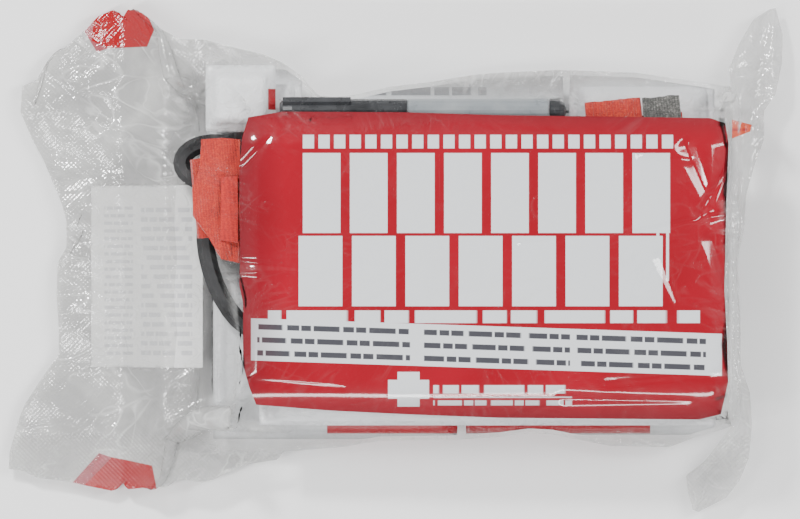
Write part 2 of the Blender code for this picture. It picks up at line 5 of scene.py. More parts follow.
import bmesh
import bpy
import numpy as np
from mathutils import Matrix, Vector

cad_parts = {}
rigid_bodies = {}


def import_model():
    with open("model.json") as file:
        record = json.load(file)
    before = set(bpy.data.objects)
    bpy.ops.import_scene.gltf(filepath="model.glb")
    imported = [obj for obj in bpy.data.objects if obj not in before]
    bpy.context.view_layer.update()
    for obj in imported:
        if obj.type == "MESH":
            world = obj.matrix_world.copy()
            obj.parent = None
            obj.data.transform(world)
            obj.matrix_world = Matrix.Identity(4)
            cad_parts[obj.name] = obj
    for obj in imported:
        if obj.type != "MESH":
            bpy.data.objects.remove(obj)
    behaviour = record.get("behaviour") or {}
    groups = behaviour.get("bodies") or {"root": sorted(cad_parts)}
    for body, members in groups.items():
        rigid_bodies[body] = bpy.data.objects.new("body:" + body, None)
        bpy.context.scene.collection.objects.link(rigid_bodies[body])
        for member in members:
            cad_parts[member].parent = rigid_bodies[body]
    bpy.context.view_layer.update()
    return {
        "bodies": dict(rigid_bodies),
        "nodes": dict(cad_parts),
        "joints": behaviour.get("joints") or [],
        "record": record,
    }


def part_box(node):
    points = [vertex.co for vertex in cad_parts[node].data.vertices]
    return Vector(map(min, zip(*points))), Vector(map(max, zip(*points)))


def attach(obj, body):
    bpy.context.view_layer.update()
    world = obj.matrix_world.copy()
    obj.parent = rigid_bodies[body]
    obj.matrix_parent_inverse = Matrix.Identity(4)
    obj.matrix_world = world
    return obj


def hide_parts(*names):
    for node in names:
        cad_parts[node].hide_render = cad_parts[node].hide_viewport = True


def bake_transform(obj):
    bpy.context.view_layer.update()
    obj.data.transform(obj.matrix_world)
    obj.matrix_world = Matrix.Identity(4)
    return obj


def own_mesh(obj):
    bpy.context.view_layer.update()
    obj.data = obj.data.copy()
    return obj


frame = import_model()
MM = 0.001


# ---- camera, floor and light ----

CAMERA_AT = (0.0022, 0.0002)
CAMERA_HEIGHT = 3.067       # far off, so that low and high edges keep their true places
LENS = 284.2

# From horizon to zenith; the dark zenith keeps the glossy label red.
SKY = [(0.0, (0.56,) * 3), (0.15, (0.85,) * 3), (0.6, (0.8,) * 3), (1.0, (0.16,) * 3)]
SKY_STRENGTH = 0.8
LIT_POINT = Vector((0.0, 0.0, 0.03))
LIGHTS = [                  # name, place, size and power
    ("key", (-0.42, 0.62, 1.0), (0.13, 0.13), 12.0),
    ("side", (0.6, 0.22, 1.0), (0.16, 0.6), 8.0),
    ("left_strip", (-0.5, -0.2, 1.0), (0.05, 0.6), 6.0),
    ("front_strip", (0.05, -0.75, 0.95), (0.9, 0.07), 6.0),
]


def make_camera():
    data = bpy.data.cameras.new("camera")
    data.lens = LENS
    data.sensor_width = 36.0
    data.clip_start = 0.01
    camera = bpy.data.objects.new("camera", data)
    bpy.context.scene.collection.objects.link(camera)
    camera.location = (*CAMERA_AT, CAMERA_HEIGHT)
    bpy.context.scene.camera = camera


def area_light(name, at, size, power):
    data = bpy.data.lights.new(name, "AREA")
    data.shape = "RECTANGLE"
    data.size, data.size_y = size
    data.energy = power
    light = bpy.data.objects.new(name, data)
    bpy.context.scene.collection.objects.link(light)
    light.location = at
    direction = LIT_POINT - light.location
    light.rotation_euler = direction.to_track_quat("-Z", "Y").to_euler()


def make_stage():
    world = bpy.data.worlds.new("studio")
    bpy.context.scene.world = world
    world.use_nodes = True
    sky = world.node_tree
    coords = sky.nodes.new("ShaderNodeTexCoord")
    split = sky.nodes.new("ShaderNodeSeparateXYZ")
    sky.links.new(coords.outputs["Generated"], split.inputs[0])
    back = sky.nodes["Background"]
    sky.links.new(colour_ramp(sky, split.outputs[2], SKY), back.inputs["Color"])
    back.inputs["Strength"].default_value = SKY_STRENGTH
    for name, at, size, power in LIGHTS:
        area_light(name, at, size, power)
    bpy.ops.mesh.primitive_plane_add(size=8.0)
    floor = bpy.context.object
    floor.name = "floor"
    g = Graph("floor", 0.6)
    noise = g.node("TexNoise", Scale=6.0).outputs["Fac"]
    pale = g.ramp(noise, [(0.3, (0.93, 0.93, 0.93)), (0.7, (0.95, 0.95, 0.95))])
    floor.data.materials.append(g.finish(Base_Color=pale))


# ---- materials as graphs of nodes ----


def colour_ramp(tree, value, stops):
    """A colour that goes through the stops as the value rises from 0 to 1."""
    ramp = tree.nodes.new("ShaderNodeValToRGB")
    elements = ramp.color_ramp.elements
    while len(elements) < len(stops):
        elements.new(0.5)
    for element, (at, colour) in zip(elements, stops):
        element.position = at
        element.color = (*colour, 1.0)
    tree.links.new(value, ramp.inputs["Fac"])
    return ramp.outputs["Color"]


class Graph:
    """A material's nodes, with short calls for the ones that the looks are made of."""

    def __init__(self, name, roughness=0.5, metallic=0.0, **sockets):
        self.material = bpy.data.materials.new(name)
        self.material.use_nodes = True
        self.tree = self.material.node_tree
        self.shader = self.tree.nodes["Principled BSDF"]
        self.fill(self.shader, Roughness=roughness, Metallic=metallic, **sockets)

    def put(self, socket, value):
        """Give a socket a number, a vector, a colour or another node's output."""
        if isinstance(value, (int, float)):
            socket.default_value = value
        elif isinstance(value, tuple):
            socket.default_value = value if socket.type == "VECTOR" else (*value, 1.0)
        else:
            self.tree.links.new(value, socket)

    def fill(self, node, **sockets):
        for name, value in sockets.items():
            self.put(node.inputs[name.replace("_", " ")], value)

    def node(self, kind, **sockets):
        node = self.tree.nodes.new("ShaderNode" + kind)
        self.fill(node, **sockets)
        return node

    def finish(self, **sockets):
        self.fill(self.shader, **sockets)
        return self.material

    def split(self, vector):
        return self.node("SeparateXYZ", Vector=vector).outputs[:3]

    def place(self):
        """Object coordinates in millimetres: the vector, then X, Y and Z."""
        scaled = self.node("VectorMath")
        scaled.operation = "SCALE"
        self.put(scaled.inputs["Scale"], 1.0 / MM)
        self.put(scaled.inputs[0], self.node("TexCoord").outputs["Object"])
        return (scaled.outputs[0], *self.split(scaled.outputs[0]))

    def maths(self, operation, *values, clamp=False):
        node = self.node("Math")
        node.operation = operation
        node.use_clamp = clamp
        for socket, value in zip(node.inputs, values):
            self.put(socket, value)
        return node.outputs[0]

    def plus(self, first, second, clamp=False):
        return self.maths("ADD", first, second, clamp=clamp)

    def less(self, first, second):
        return self.maths("SUBTRACT", first, second)

    def times(self, first, second, clamp=False):
        return self.maths("MULTIPLY", first, second, clamp=clamp)

    def largest(self, *values):
        total = values[0]
        for value in values[1:]:
            total = self.maths("MAXIMUM", total, value)
        return total

    def away_from(self, value, middle):
        return self.maths("ABSOLUTE", self.less(value, middle))

    def wave(self, value, length):
        """A sine with that length from crest to crest."""
        return self.maths("SINE", self.times(value, 2 * math.pi / length))

    def ranged(self, value, low, high, new_low=0.0, new_high=1.0):
        """A value carried from one range to another, and held at the ends."""
        limits = {"From_Min": low, "From_Max": high, "To_Min": new_low, "To_Max": new_high}
        return self.node("MapRange", Value=value, **limits).outputs["Result"]

    def noise(self, vector, scale, detail=3.0, roughness=0.5, distortion=0.0):
        """Noise over coordinates in millimetres."""
        kind = {"Scale": scale, "Detail": detail, "Roughness": roughness, "Distortion": distortion}
        return self.node("TexNoise", Vector=vector, **kind).outputs["Fac"]

    def ramp(self, value, stops):
        return colour_ramp(self.tree, value, stops)

    def mix(self, share, first, second):
        """The first colour with a share of the second over it."""
        node = self.node("Mix")
        node.data_type = "RGBA"
        for socket, value in ((node.inputs[0], share), (node.inputs[6], first), (node.inputs[7], second)):
            self.put(socket, value)
        return node.outputs[2]

    def bump(self, height, strength, distance):
        """Relief from a height field; the distance is in millimetres."""
        relief = self.node("Bump", Strength=strength, Distance=distance * MM, Height=height)
        self.fill(self.shader, Normal=relief.outputs[0])

    def inside(self, value, low, high, soft=0.12):
        """1 where a value lies between low and high, with a soft edge."""
        half = (high - low) / 2
        return self.ranged(self.away_from(value, (low + high) / 2), half + soft, half - soft)

    def rectangle(self, x, y, low_x, high_x, low_y, high_y):
        return self.times(self.inside(x, low_x, high_x), self.inside(y, low_y, high_y))

    def polygon(self, x, y, corners):
        """1 inside a convex polygon whose corners run anticlockwise."""
        depth = None
        for (ax, ay), (bx, by) in zip(corners, corners[1:] + corners[:1]):
            length = math.hypot(bx - ax, by - ay)
            nx, ny = (ay - by) / length, (bx - ax) / length
            side = self.maths("MULTIPLY_ADD", x, nx, -(nx * ax + ny * ay))
            side = self.plus(side, self.times(y, ny))
            depth = side if depth is None else self.maths("MINIMUM", depth, side)
        return self.maths("MULTIPLY_ADD", depth, 3.0, 0.5, clamp=True)

    def block_row(self, x, y, low_x, high_x, low_y, high_y, count, filled):
        """A row of equal blocks: what a line of print becomes when nothing can be read in it."""
        pitch = (high_x - low_x) / (count - 1 + filled)
        place = self.maths("MODULO", self.plus(x, 40 * pitch - low_x), pitch)
        blocks = self.inside(place, 0.0, pitch * filled)
        return self.times(blocks, self.rectangle(x, y, low_x - 0.1, high_x + 0.1, low_y, high_y))

    def word_row(self, x, y, low_x, high_x, low_y, high_y, seed):
        """A line of small print as dashes of uneven length, about as long as words."""
        pitch = 3.4 * (high_y - low_y)
        place = self.maths("DIVIDE", self.plus(x, 40 * pitch + 1.7 * seed), pitch)
        shift = self.times(self.maths("SINE", self.times(place, 2.2)), 0.3)
        within = self.maths("FRACT", self.plus(place, shift))
        dashes = self.inside(within, 0.0, 0.84, 0.03)
        return self.times(dashes, self.rectangle(x, y, low_x, high_x, low_y, high_y))


# ---- mesh helpers ----

SHARP_ANGLE = 42.0          # degrees: sharper edges stay crisp in smooth shading

def object_from(name, points, faces, mat, body, replaces=()):
    """A piece from points in millimetres."""
    mesh = bpy.data.meshes.new(name)
    mesh.from_pydata([tuple(MM * c for c in p) for p in points], [], [tuple(f) for f in faces])
    mesh.validate()
    bm = bmesh.new()
    bm.from_mesh(mesh)
    bmesh.ops.recalc_face_normals(bm, faces=bm.faces)
    bm.to_mesh(mesh)
    bm.free()
    mesh.shade_smooth()
    piece = bpy.data.objects.new(name, mesh)
    bpy.context.scene.collection.objects.link(piece)
    piece.data.materials.append(mat)
    if body:
        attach(piece, body)
    if replaces:
        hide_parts(*replaces)
    return piece


def thicken(piece, thickness, offset=0.0, rounding=0.0):
    """Give a sheet its thickness in millimetres; an offset of -1 keeps its upper face where it is."""
    solid = piece.modifiers.new("thickness", "SOLIDIFY")
    solid.thickness = thickness * MM
    solid.offset = offset
    if rounding:
        bevel = piece.modifiers.new("rounding", "BEVEL")
        bevel.width = rounding * MM
        bevel.limit_method = "ANGLE"
    graph = bpy.context.evaluated_depsgraph_get()
    mesh = bpy.data.meshes.new_from_object(piece.evaluated_get(graph))
    old = piece.data
    piece.modifiers.clear()
    piece.data = mesh
    bpy.data.meshes.remove(old)
    mesh.shade_smooth()
    mesh.set_sharp_from_angle(angle=math.radians(SHARP_ANGLE))


def grid_faces(rows, columns, start=0):
    """Quads of a grid whose points run column by column within each row."""
    i = np.arange(rows - 1)[:, None]
    j = np.arange(columns - 1)[None, :]
    a = i * columns + j + start
    faces = np.stack([a, a + 1, a + 1 + columns, a + columns], axis=-1)
    return faces.reshape(-1, 4).tolist()


def grid_piece(name, points, mat, body, replaces=()):
    """A sheet from rows of points."""
    faces = grid_faces(*points.shape[:2])
    return object_from(name, points.reshape(-1, 3), faces, mat, body, replaces)


def with_height(plan, height):
    return np.concatenate([plan, height[..., None]], axis=-1)


# ---- film: a sheet that is sucked down onto the goods ----

SEAM_Z = 20.0
HEADER_Z = 8.0
TEAR_X = -132.0
HINGE_X = 162.0
FOOT_X = -112.0
TOP_EDGE = [
    (TEAR_X, 117.4), (-129.4, 121.2), (-124.5, 119.8), (-117.5, 113.5), (-109.0, 109.3),
    (-104.2, 106.4), (-92.8, 106.4), (-78.6, 102.6), (-64.3, 99.3), (-54.3, 95.0), (-45.3, 88.8),
    (-42.0, 84.6), (-37.0, 79.2), (-28.7, 78.6), (-18.7, 79.8), (-2.6, 83.6), (18.0, 86.0),
    (37.8, 89.3), (49.7, 90.3), (78.2, 91.7), (116.2, 90.3), (142.3, 86.5), (HINGE_X - 0.4, 83.5),
]
BOTTOM_EDGE = [
    (TEAR_X, -107.8), (-130.0, -111.0), (-115.6, -109.7), (-109.9, -109.3), (-105.2, -105.9),
    (-92.8, -107.4), (-87.6, -105.9), (-78.6, -101.2), (-70.0, -98.3), (-56.7, -96.4), (-54.3, -92.6),
    (-25.8, -90.3), (-7.3, -87.4), (26.0, -86.9), (49.7, -85.5), (64.0, -83.6), (75.4, -84.1),
    (104.0, -89.8), (131.9, -90.3), (144.7, -85.6), (HINGE_X - 0.4, -80.5),
]
HEADER_TOP = [
    (-180.7, 84.1), (-174.0, 86.9), (-168.8, 96.0), (-159.3, 103.6), (-149.8, 111.6), (-144.1, 117.8),
    (-136.5, 121.1), (TEAR_X, 117.4),
]
HEADER_BOTTOM = [
    (-187.3, -101.2), (-179.7, -102.6), (-173.6, -105.5), (-156.5, -107.8), (-149.8, -109.3),
    (-136.5, -112.0), (TEAR_X, -107.8),
]
HEADER_LEFT = [
    (-187.3, -101.2), (-186.9, -93.1), (-182.6, -77.4), (-179.3, -69.8), (-172.1, -58.4),
    (-163.1, -45.6), (-163.1, -33.3), (-164.1, -15.7), (-163.6, -1.4), (-159.3, 6.2), (-159.3, 19.0),
    (-161.7, 27.6), (-171.2, 49.9), (-175.9, 58.0), (-181.6, 71.7), (-180.7, 84.1),
]
FILM_STEP = 1.5             # spacing of the film's points
HEADER_SHARE = np.linspace(0.0, 1.0, int(52.0 / FILM_STEP))
PRESSURE = 0.05             # how far the air moves the film in one round
# Steps along and across to the neighbours that a point is tied to, and how stiffly
NEIGHBOURS = [(1, 0, 1.0), (0, 1, 1.0), (1, 1, 0.5), (1, -1, 0.5), (3, 0, 0.06), (0, 3, 0.06)]
GLIDE = 0.75                # share of its movement that the film keeps from round to round
FILM_GAP = 0.35             # between the film and what it lies on
HIGHEST_FILM = 68.2
TOUCHING = 3.5              # film nearer than this to the goods is clear
CLING_REACH = 13.0          # and beyond this more it is fully hazy


def along(points, share):
    """Points on a polyline at shares of its length."""
    points = np.asarray(points, float)
    run = np.concatenate([[0.0], np.cumsum(np.linalg.norm(np.diff(points, axis=0), axis=1))])
    at = np.asarray(share) * run[-1]
    return np.stack([np.interp(at, run, points[:, k]) for k in range(points.shape[1])], axis=-1)


def patch(bottom, top, left, right):
    """Points of a sheet between four rows of points: bottom and top run in X, left and right in Y."""
    s = np.linspace(0.0, 1.0, len(left))[None, :, None]
    t = np.linspace(0.0, 1.0, len(bottom))[:, None, None]
    corners = (1 - t) * ((1 - s) * bottom[0] + s * top[0]) + t * ((1 - s) * bottom[-1] + s * top[-1])
    edges = (1 - s) * bottom[:, None] + s * top[:, None] + (1 - t) * left[None] + t * right[None]
    return edges - corners


def outline_patch(bottom, top, left, right, columns, rows):
    """The same sheet from four outlines of a few points each."""
    u, v = np.linspace(0.0, 1.0, columns), np.linspace(0.0, 1.0, rows)
    return patch(along(bottom, u), along(top, u), along(left, v), along(right, v))


def smoothed(values, passes):
    for _ in range(passes):
        padded = np.pad(values, (1, 1), mode="edge")
        values = (padded[:-2] + 2 * padded[1:-1] + padded[2:]) / 4
    return values


def seam_wave(x, y):
    """How far the free film of the header waves out of its plane."""
    slow = 1.5 * np.sin(y / 21.0 + 1.3) * np.sin(x / 27.0 + 0.4)
    quick = 0.7 * np.sin(y / 8.0 + x / 19.0 + 0.7)
    return (slow + quick) * np.clip((FOOT_X - x) / 20.0, 0.0, 1.0)


def seam_line(x):
    """Height of the seam: low in the header, and rising to the height of the pack's seam."""
    return HEADER_Z + (SEAM_Z - HEADER_Z) * np.clip((x - TEAR_X) / (FOOT_X - TEAR_X), 0.0, 1.0)


def seam_height(x, y):
    return seam_line(x) + seam_wave(x, y)


LABEL_TOP = [
    (-70.0, 67.9), (-53.9, 70.6), (5.5, 70.3), (49.7, 68.9), (86.8, 68.4), (150.0, 67.5), (157.0, 65.0),
]
LABEL_RIGHT = [
    (155.0, -73.5), (158.2, -58.4), (157.8, -39.4), (156.4, -14.3), (157.4, 27.6), (158.4, 55.6),
    (157.0, 65.0),
]
LABEL_BOTTOM = [
    (-66.2, -68.9), (-31.0, -71.7), (8.0, -73.6), (49.7, -75.2), (144.7, -76.0), (155.0, -73.5),
]
LABEL_LEFT = [
    (-66.2, -68.9), (-69.5, -60.3), (-72.4, -50.0), (-72.4, -20.4), (-74.2, -12.0), (-73.8, 1.9),
    (-74.2, 41.8), (-72.9, 58.0), (-70.0, 67.9),
]
# Folds pressed into the card: from, to, width and depth; a negative depth stands up.
LABEL_FOLDS = [
    ((138.0, 54.0), (151.0, 24.0), 3.2, 1.3), ((145.0, 22.0), (158.0, 44.0), 2.4, 1.2),
    ((118.0, 50.0), (140.0, 47.0), 2.6, 0.9), ((158.0, 22.0), (104.0, 11.0), 1.6, 0.8),
    ((150.0, 10.0), (158.0, -16.0), 2.8, 1.0), ((126.0, 2.0), (134.0, -20.0), 3.4, 0.8),
    ((-74.0, -1.0), (-38.0, -4.5), 1.4, 0.7), ((-74.0, -6.0), (-30.0, -5.0), 1.2, -0.5),
    ((30.0, 62.5), (82.0, 60.5), 2.2, 0.8), ((-52.0, 62.0), (-30.0, 58.0), 3.0, 0.7),
    ((-72.0, 44.0), (-60.0, 58.0), 2.8, 1.0), ((100.0, -58.0), (158.0, -53.0), 2.0, 0.9),
    ((-66.0, -58.0), (-24.0, -61.0), 2.2, 0.7), ((80.0, -66.0), (140.0, -67.0), 2.6, 0.6),
    ((60.0, 8.0), (104.0, 12.0), 1.8, 0.5), ((20.0, -18.0), (70.0, -10.0), 4.0, 0.5),
]


def fold_depth(x, y):
    total = np.zeros_like(x)
    for a, b, width, depth in LABEL_FOLDS:
        a, b = np.array(a), np.array(b)
        span = b - a
        t = np.clip(((x - a[0]) * span[0] + (y - a[1]) * span[1]) / (span @ span), 0.0, 1.0)
        away = np.hypot(x - a[0] - t * span[0], y - a[1] - t * span[1])
        taper = 1.0 - 0.6 * t
        total += depth * taper * np.exp(-((away / (width * taper)) ** 2))
    return total


def label_height(x, y):
    """Height of the label card: bent down along its upper and lower edges and a little at its ends."""
    upper = np.clip((y - 54.0) / 16.0, 0.0, 1.2)
    lower = np.clip((-56.0 - y) / 20.0, 0.0, 1.2)
    right = np.clip((x - 148.0) / 11.0, 0.0, 1.2)
    left = np.clip((-64.0 - x) / 10.0, 0.0, 1.2)
    plain = 66.4 - 6.0 * upper**1.6 - 7.0 * lower**1.6 - 2.4 * right**2 - 2.0 * left**2
    rolling = 0.35 * np.sin(x / 17.0 + 1.0) * np.sin(y / 13.0 + 0.5)
    return np.minimum(plain - fold_depth(x, y) + rolling, 67.0)


# Low and high X, then low and high Y
LABEL_OUTLINE = (-74.0, 158.3, -75.5, 70.3)
CARD_OUTLINE = (-147.5, -93.0, -52.0, 36.0)
ON_TABLE = (-88.0, 148.0, -74.0, 72.0)


class Obstacles:
    """Round-edged boxes and round bars that the film cannot enter."""

    def __init__(self):
        self.boxes = []
        self.bars = []

    def box(self, low, high, radius, angle=0.0, origin=(0.0, 0.0)):
        """A box in a frame that is turned by that angle about the origin given."""
        low, high = np.array(low, float), np.array(high, float)
        radius = min(radius, float((high - low).min()) / 2 - 0.01)
        frame = np.array([*origin, 0.0]), math.cos(math.radians(angle)), math.sin(math.radians(angle))
        self.boxes.append(((low + high) / 2, (high - low) / 2, radius, frame))

    def bar(self, points, radius):
        """A round bar along a polyline."""
        self.bars.append((np.asarray(points, float), radius))

    def in_box(self, p, centre, frame):
        """Points seen from a box's middle and in its frame."""
        origin, c, s = frame
        q = p - origin
        return np.stack([q[:, 0] * c + q[:, 1] * s, q[:, 1] * c - q[:, 0] * s, q[:, 2]], axis=1) - centre

    def out_of_box(self, local, centre, frame):
        origin, c, s = frame
        q = local + centre
        return np.stack([q[:, 0] * c - q[:, 1] * s, q[:, 1] * c + q[:, 0] * s, q[:, 2]], axis=1) + origin

    def push(self, p, gap):
        """Move points out of every obstacle to its surface plus a gap."""
        for centre, half, radius, frame in self.boxes:
            local = self.in_box(p, centre, frame)
            core = half - radius
            near = np.where(np.all(np.abs(local) < half + gap, axis=1))[0]
            if not len(near):
                continue
            part = local[near]
            closest = np.clip(part, -core, core)
            away = part - closest
            dist = np.linalg.norm(away, axis=1)
            inside = dist < 1e-6
            if inside.any():
                depth = half - np.abs(part[inside])
                axis = depth.argmin(axis=1)
                rows = np.where(inside)[0]
                away[rows, axis] = np.sign(part[rows, axis]) + (part[rows, axis] == 0)
                closest[rows, axis] = away[rows, axis] * core[axis]
                dist[rows] = 1.0
            deep = np.where(inside, 0.0, dist) < radius + gap
            moved = closest + away / dist[:, None] * (radius + gap)
            p[near] = self.out_of_box(np.where(deep[:, None], moved, part), centre, frame)
        for points, radius in self.bars:
            reach = radius + gap
            low, high = points.min(0) - reach, points.max(0) + reach
            near = np.where(np.all((p > low) & (p < high), axis=1))[0]
            if not len(near):
                continue
            part = p[near]
            best, spot = self.nearest(part, points)
            deep = best < reach
            away = (part - spot) / np.maximum(best, 1e-6)[:, None]
            part[deep] = spot[deep] + away[deep] * reach
            p[near] = part
        return p

    def nearest(self, p, points):
        """Each point's distance from a polyline, and the place on it that is nearest."""
        best = np.full(len(p), np.inf)
        spot = np.zeros_like(p)
        for a, b in zip(points[:-1], points[1:]):
            span = b - a
            t = np.clip((p - a) @ span / max(span @ span, 1e-9), 0.0, 1.0)
            foot = a + t[:, None] * span
            away = np.linalg.norm(p - foot, axis=1)
            better = away < best
            best[better] = away[better]
            spot[better] = foot[better]
        return best, spot

    def distance(self, p):
        """How far points are from the nearest obstacle."""
        best = np.full(len(p), 50.0)
        for centre, half, radius, frame in self.boxes:
            local = self.in_box(p, centre, frame)
            core = half - radius
            away = local - np.clip(local, -core, core)
            best = np.minimum(best, np.linalg.norm(away, axis=1) - radius)
        for points, radius in self.bars:
            best = np.minimum(best, self.nearest(p, points)[0] - radius)
        return best


def neighbour_links(grid, excess):
    """Pairs of points that keep their distance, as slices of the grid: first, second, length, stiffness."""
    links = []
    for du, dv, stiff in NEIGHBOURS:
        first = (slice(0, -du or None), slice(max(-dv, 0), -dv if dv > 0 else None))
        second = (slice(du, None), slice(max(dv, 0), dv if dv < 0 else None))
        length = np.linalg.norm(grid[first] - grid[second], axis=-1)
        length = length * (1.0 + (excess[first] + excess[second]) / 2)
        links.append((first, second, length, stiff))
    return links


def settle(grid, excess, obstacles, limits, rounds, seed=1, side=1.0):
    """Let a sheet of points, held at its edges, shrink onto the obstacles while it keeps its lengths.

    excess is how much longer than the start shape each stretch of film is, which makes it wrinkle.
    limits keeps the points above or below a surface, and side says to which side the air presses.
    """
    pinned = np.ones(grid.shape[:2], bool)
    pinned[1:-1, 1:-1] = False
    p = grid.copy()
    noise = np.random.default_rng(seed).normal(size=p.shape[:2])
    for _ in range(2):
        in_rows = noise + np.roll(noise, 1, 0) + np.roll(noise, -1, 0)
        noise = (in_rows + np.roll(noise, 1, 1) + np.roll(noise, -1, 1)) / 3
    p[..., 2] += 0.35 * noise * ~pinned
    links = neighbour_links(grid, excess)
    free = (~pinned).astype(float)[..., None]
    last = p.copy()
    for _ in range(rounds):
        moved = p + (p - last) * GLIDE * free
        last = p
        p = moved
        normal = np.cross(np.gradient(p, axis=0), np.gradient(p, axis=1))
        normal /= np.maximum(np.linalg.norm(normal, axis=-1, keepdims=True), 1e-9)
        p = p - normal * PRESSURE * side * free
        for _ in range(2):
            shift = np.zeros_like(p)
            count = np.zeros(p.shape[:2] + (1,))
            for first, second, length, stiff in links:
                gap = p[second] - p[first]
                now = np.linalg.norm(gap, axis=-1)
                move = gap * ((now - length) / np.maximum(now, 1e-9) * 0.5 * stiff)[..., None]
                shift[first] += move
                shift[second] -= move
                count[first] += stiff
                count[second] += stiff
            p = p + shift / np.maximum(count, 1.0) * 1.9 * free
        flat = obstacles.push(p.reshape(-1, 3), FILM_GAP)
        p = limits(flat).reshape(p.shape)
        p[pinned] = grid[pinned]
    return p


def header_patch(rows_share):
    """The header between its left outline and the tear line."""
    top, bottom = along(HEADER_TOP, HEADER_SHARE), along(HEADER_BOTTOM, HEADER_SHARE)
    left = along(HEADER_LEFT, rows_share)
    tear = bottom[-1, 1] + (top[-1, 1] - bottom[-1, 1]) * rows_share
    plan = patch(bottom, top, left, np.stack([np.full_like(tear, TEAR_X), tear], axis=1))
    return with_height(plan, HEADER_Z + seam_wave(plan[..., 0], plan[..., 1]))


def body_patch(spine, wall_share, rows_share, top_foot, bottom_foot):
    """The sheet over the goods: a spine of (x, height) points swept with a box-like cross-section."""
    count = int(np.linalg.norm(np.diff(spine, axis=0), axis=1).sum() / FILM_STEP)
    points = along(spine, np.linspace(0.0, 1.0, count))
    x = points[:, 0]
    crown = smoothed(points[:, 1], 4)
    top = np.interp(x, *np.array(TOP_EDGE).T)
    bottom = np.interp(x, *np.array(BOTTOM_EDGE).T)
    seam = seam_line(x)
    rows = []
    for i in range(count):
        rise = crown[i] - seam[i]
        foot = seam[i] + 0.04 * rise
        wall = seam[i] + rise * wall_share
        high_foot = min(top[i] - 0.8, top_foot)
        low_foot = max(bottom[i] + 0.8, bottom_foot)
        profile = [
            (bottom[i], seam[i]), (low_foot, foot), (low_foot + 1.2, wall), (low_foot + 12.0, crown[i]),
            (high_foot - 12.0, crown[i]), (high_foot - 1.2, wall), (high_foot, foot), (top[i], seam[i]),
        ]
        y, z = along(profile, rows_share).T
        rows.append(np.stack([np.full(len(y), x[i]), y, z + seam_wave(x[i], y)], axis=1))
    return np.array(rows)


GAUZE_END = ((-91.0, 61.5, 30.0), (-57.5, 93.5, 44.8))      # folded end of the first gauze pack
BAND_ORIGIN = (21.25, 40.5)
BAND_ANGLE = 5.53
PEN_Y, PEN_Z = 71.5, 51.0
THUMB = ((-87.0, 46.5), (15.4, 9.6), 0.0)           # finger loop: middle, half sizes and tilt
FINGER = ((-75.0, -3.5), (31.4, 13.4), 109.0)
SHEARS_Z = 36.0
ROUNDINGS = {
    ("compressed_gauze_1", "compressed_gauze_2", "hemostatic_gauze", "gloves_1", "gloves_2"): 6.0,
    ("trauma_dressing",): 9.5,
    ("chest_seal_1", "chest_seal_2"): 0.9,
}


def make_obstacles():
    goods = Obstacles()
    for nodes, rounding in ROUNDINGS.items():
        for node in nodes:
            goods.box(*node_box(node), rounding)
    band = {"angle": BAND_ANGLE, "origin": BAND_ORIGIN}
    goods.box((-118.5, -19.0, 41.5), (118.5, 19.0, 51.8), 2.5, **band)
    goods.box((72.0, 2.0, 50.0), (98.8, 28.0, 53.8), 1.5, **band)
    goods.box((99.0, 6.0, 50.0), (117.5, 27.5, 52.8), 1.2, **band)
    goods.box(*GAUZE_END, 5.0)
    goods.box((-96.5, 14.0, 50.0), (-74.0, 44.0, 56.6), 3.0)
    goods.box((-92.0, 0.0, 50.0), (-74.0, 57.5, 55.4), 2.6)
    goods.bar([(-52.0, PEN_Y, PEN_Z), (78.0, PEN_Y, PEN_Z)], 5.7)
    goods.bar(loop_points(THUMB), 4.7)
    goods.bar(loop_points(FINGER), 4.7)
    return goods


def loop_points(loop):
    """A closed oval along the middle of a finger loop of the shears."""
    (cx, cy), (a, b), tilt = loop
    c, s = math.cos(math.radians(tilt)), math.sin(math.radians(tilt))
    t = np.linspace(0.0, 2 * math.pi, 41)
    x, y = a * np.cos(t), b * np.sin(t)
    return np.stack([cx + x * c - y * s, cy + x * s + y * c, np.full_like(t, SHEARS_Z)], axis=1)


def within(outline, x, y, margin=0.0):
    low_x, high_x, low_y, high_y = outline
    inside_x = (x > low_x - margin) & (x < high_x + margin)
    return inside_x & (y > low_y - margin) & (y < high_y + margin)


def above_goods(p):
    """The front film lies over the seam and the label, and under the lid of the CAD's box."""
    x, y = p[:, 0], p[:, 1]
    floor = np.where(within(LABEL_OUTLINE, x, y), label_height(x, y) + 0.45, seam_height(x, y) + 0.35)
    p[:, 2] = np.minimum(np.maximum(p[:, 2], floor), HIGHEST_FILM)
    return p


def below_goods(p):
    """The back film lies under the seam, and flat on the table below the goods."""
    x, y = p[:, 0], p[:, 1]
    highest = np.where(within(ON_TABLE, x, y), 0.5, seam_height(x, y) - 0.35)
    p[:, 2] = np.clip(p[:, 2], 0.1, highest)
    return p


def smooth_noise(shape, cells, seed, stretch=(1, 1)):
    """Soft random field between -1 and 1 with about that many cells along its length."""
    rng = np.random.default_rng(seed)
    coarse = rng.uniform(-1, 1, (max(int(cells * stretch[0]), 3), max(int(cells * stretch[1]), 3)))
    x = np.linspace(0, coarse.shape[0] - 1, shape[0])
    y = np.linspace(0, coarse.shape[1] - 1, shape[1])
    first = np.array([np.interp(y, np.arange(coarse.shape[1]), row) for row in coarse])
    return np.array([np.interp(x, np.arange(coarse.shape[0]), column) for column in first.T]).T


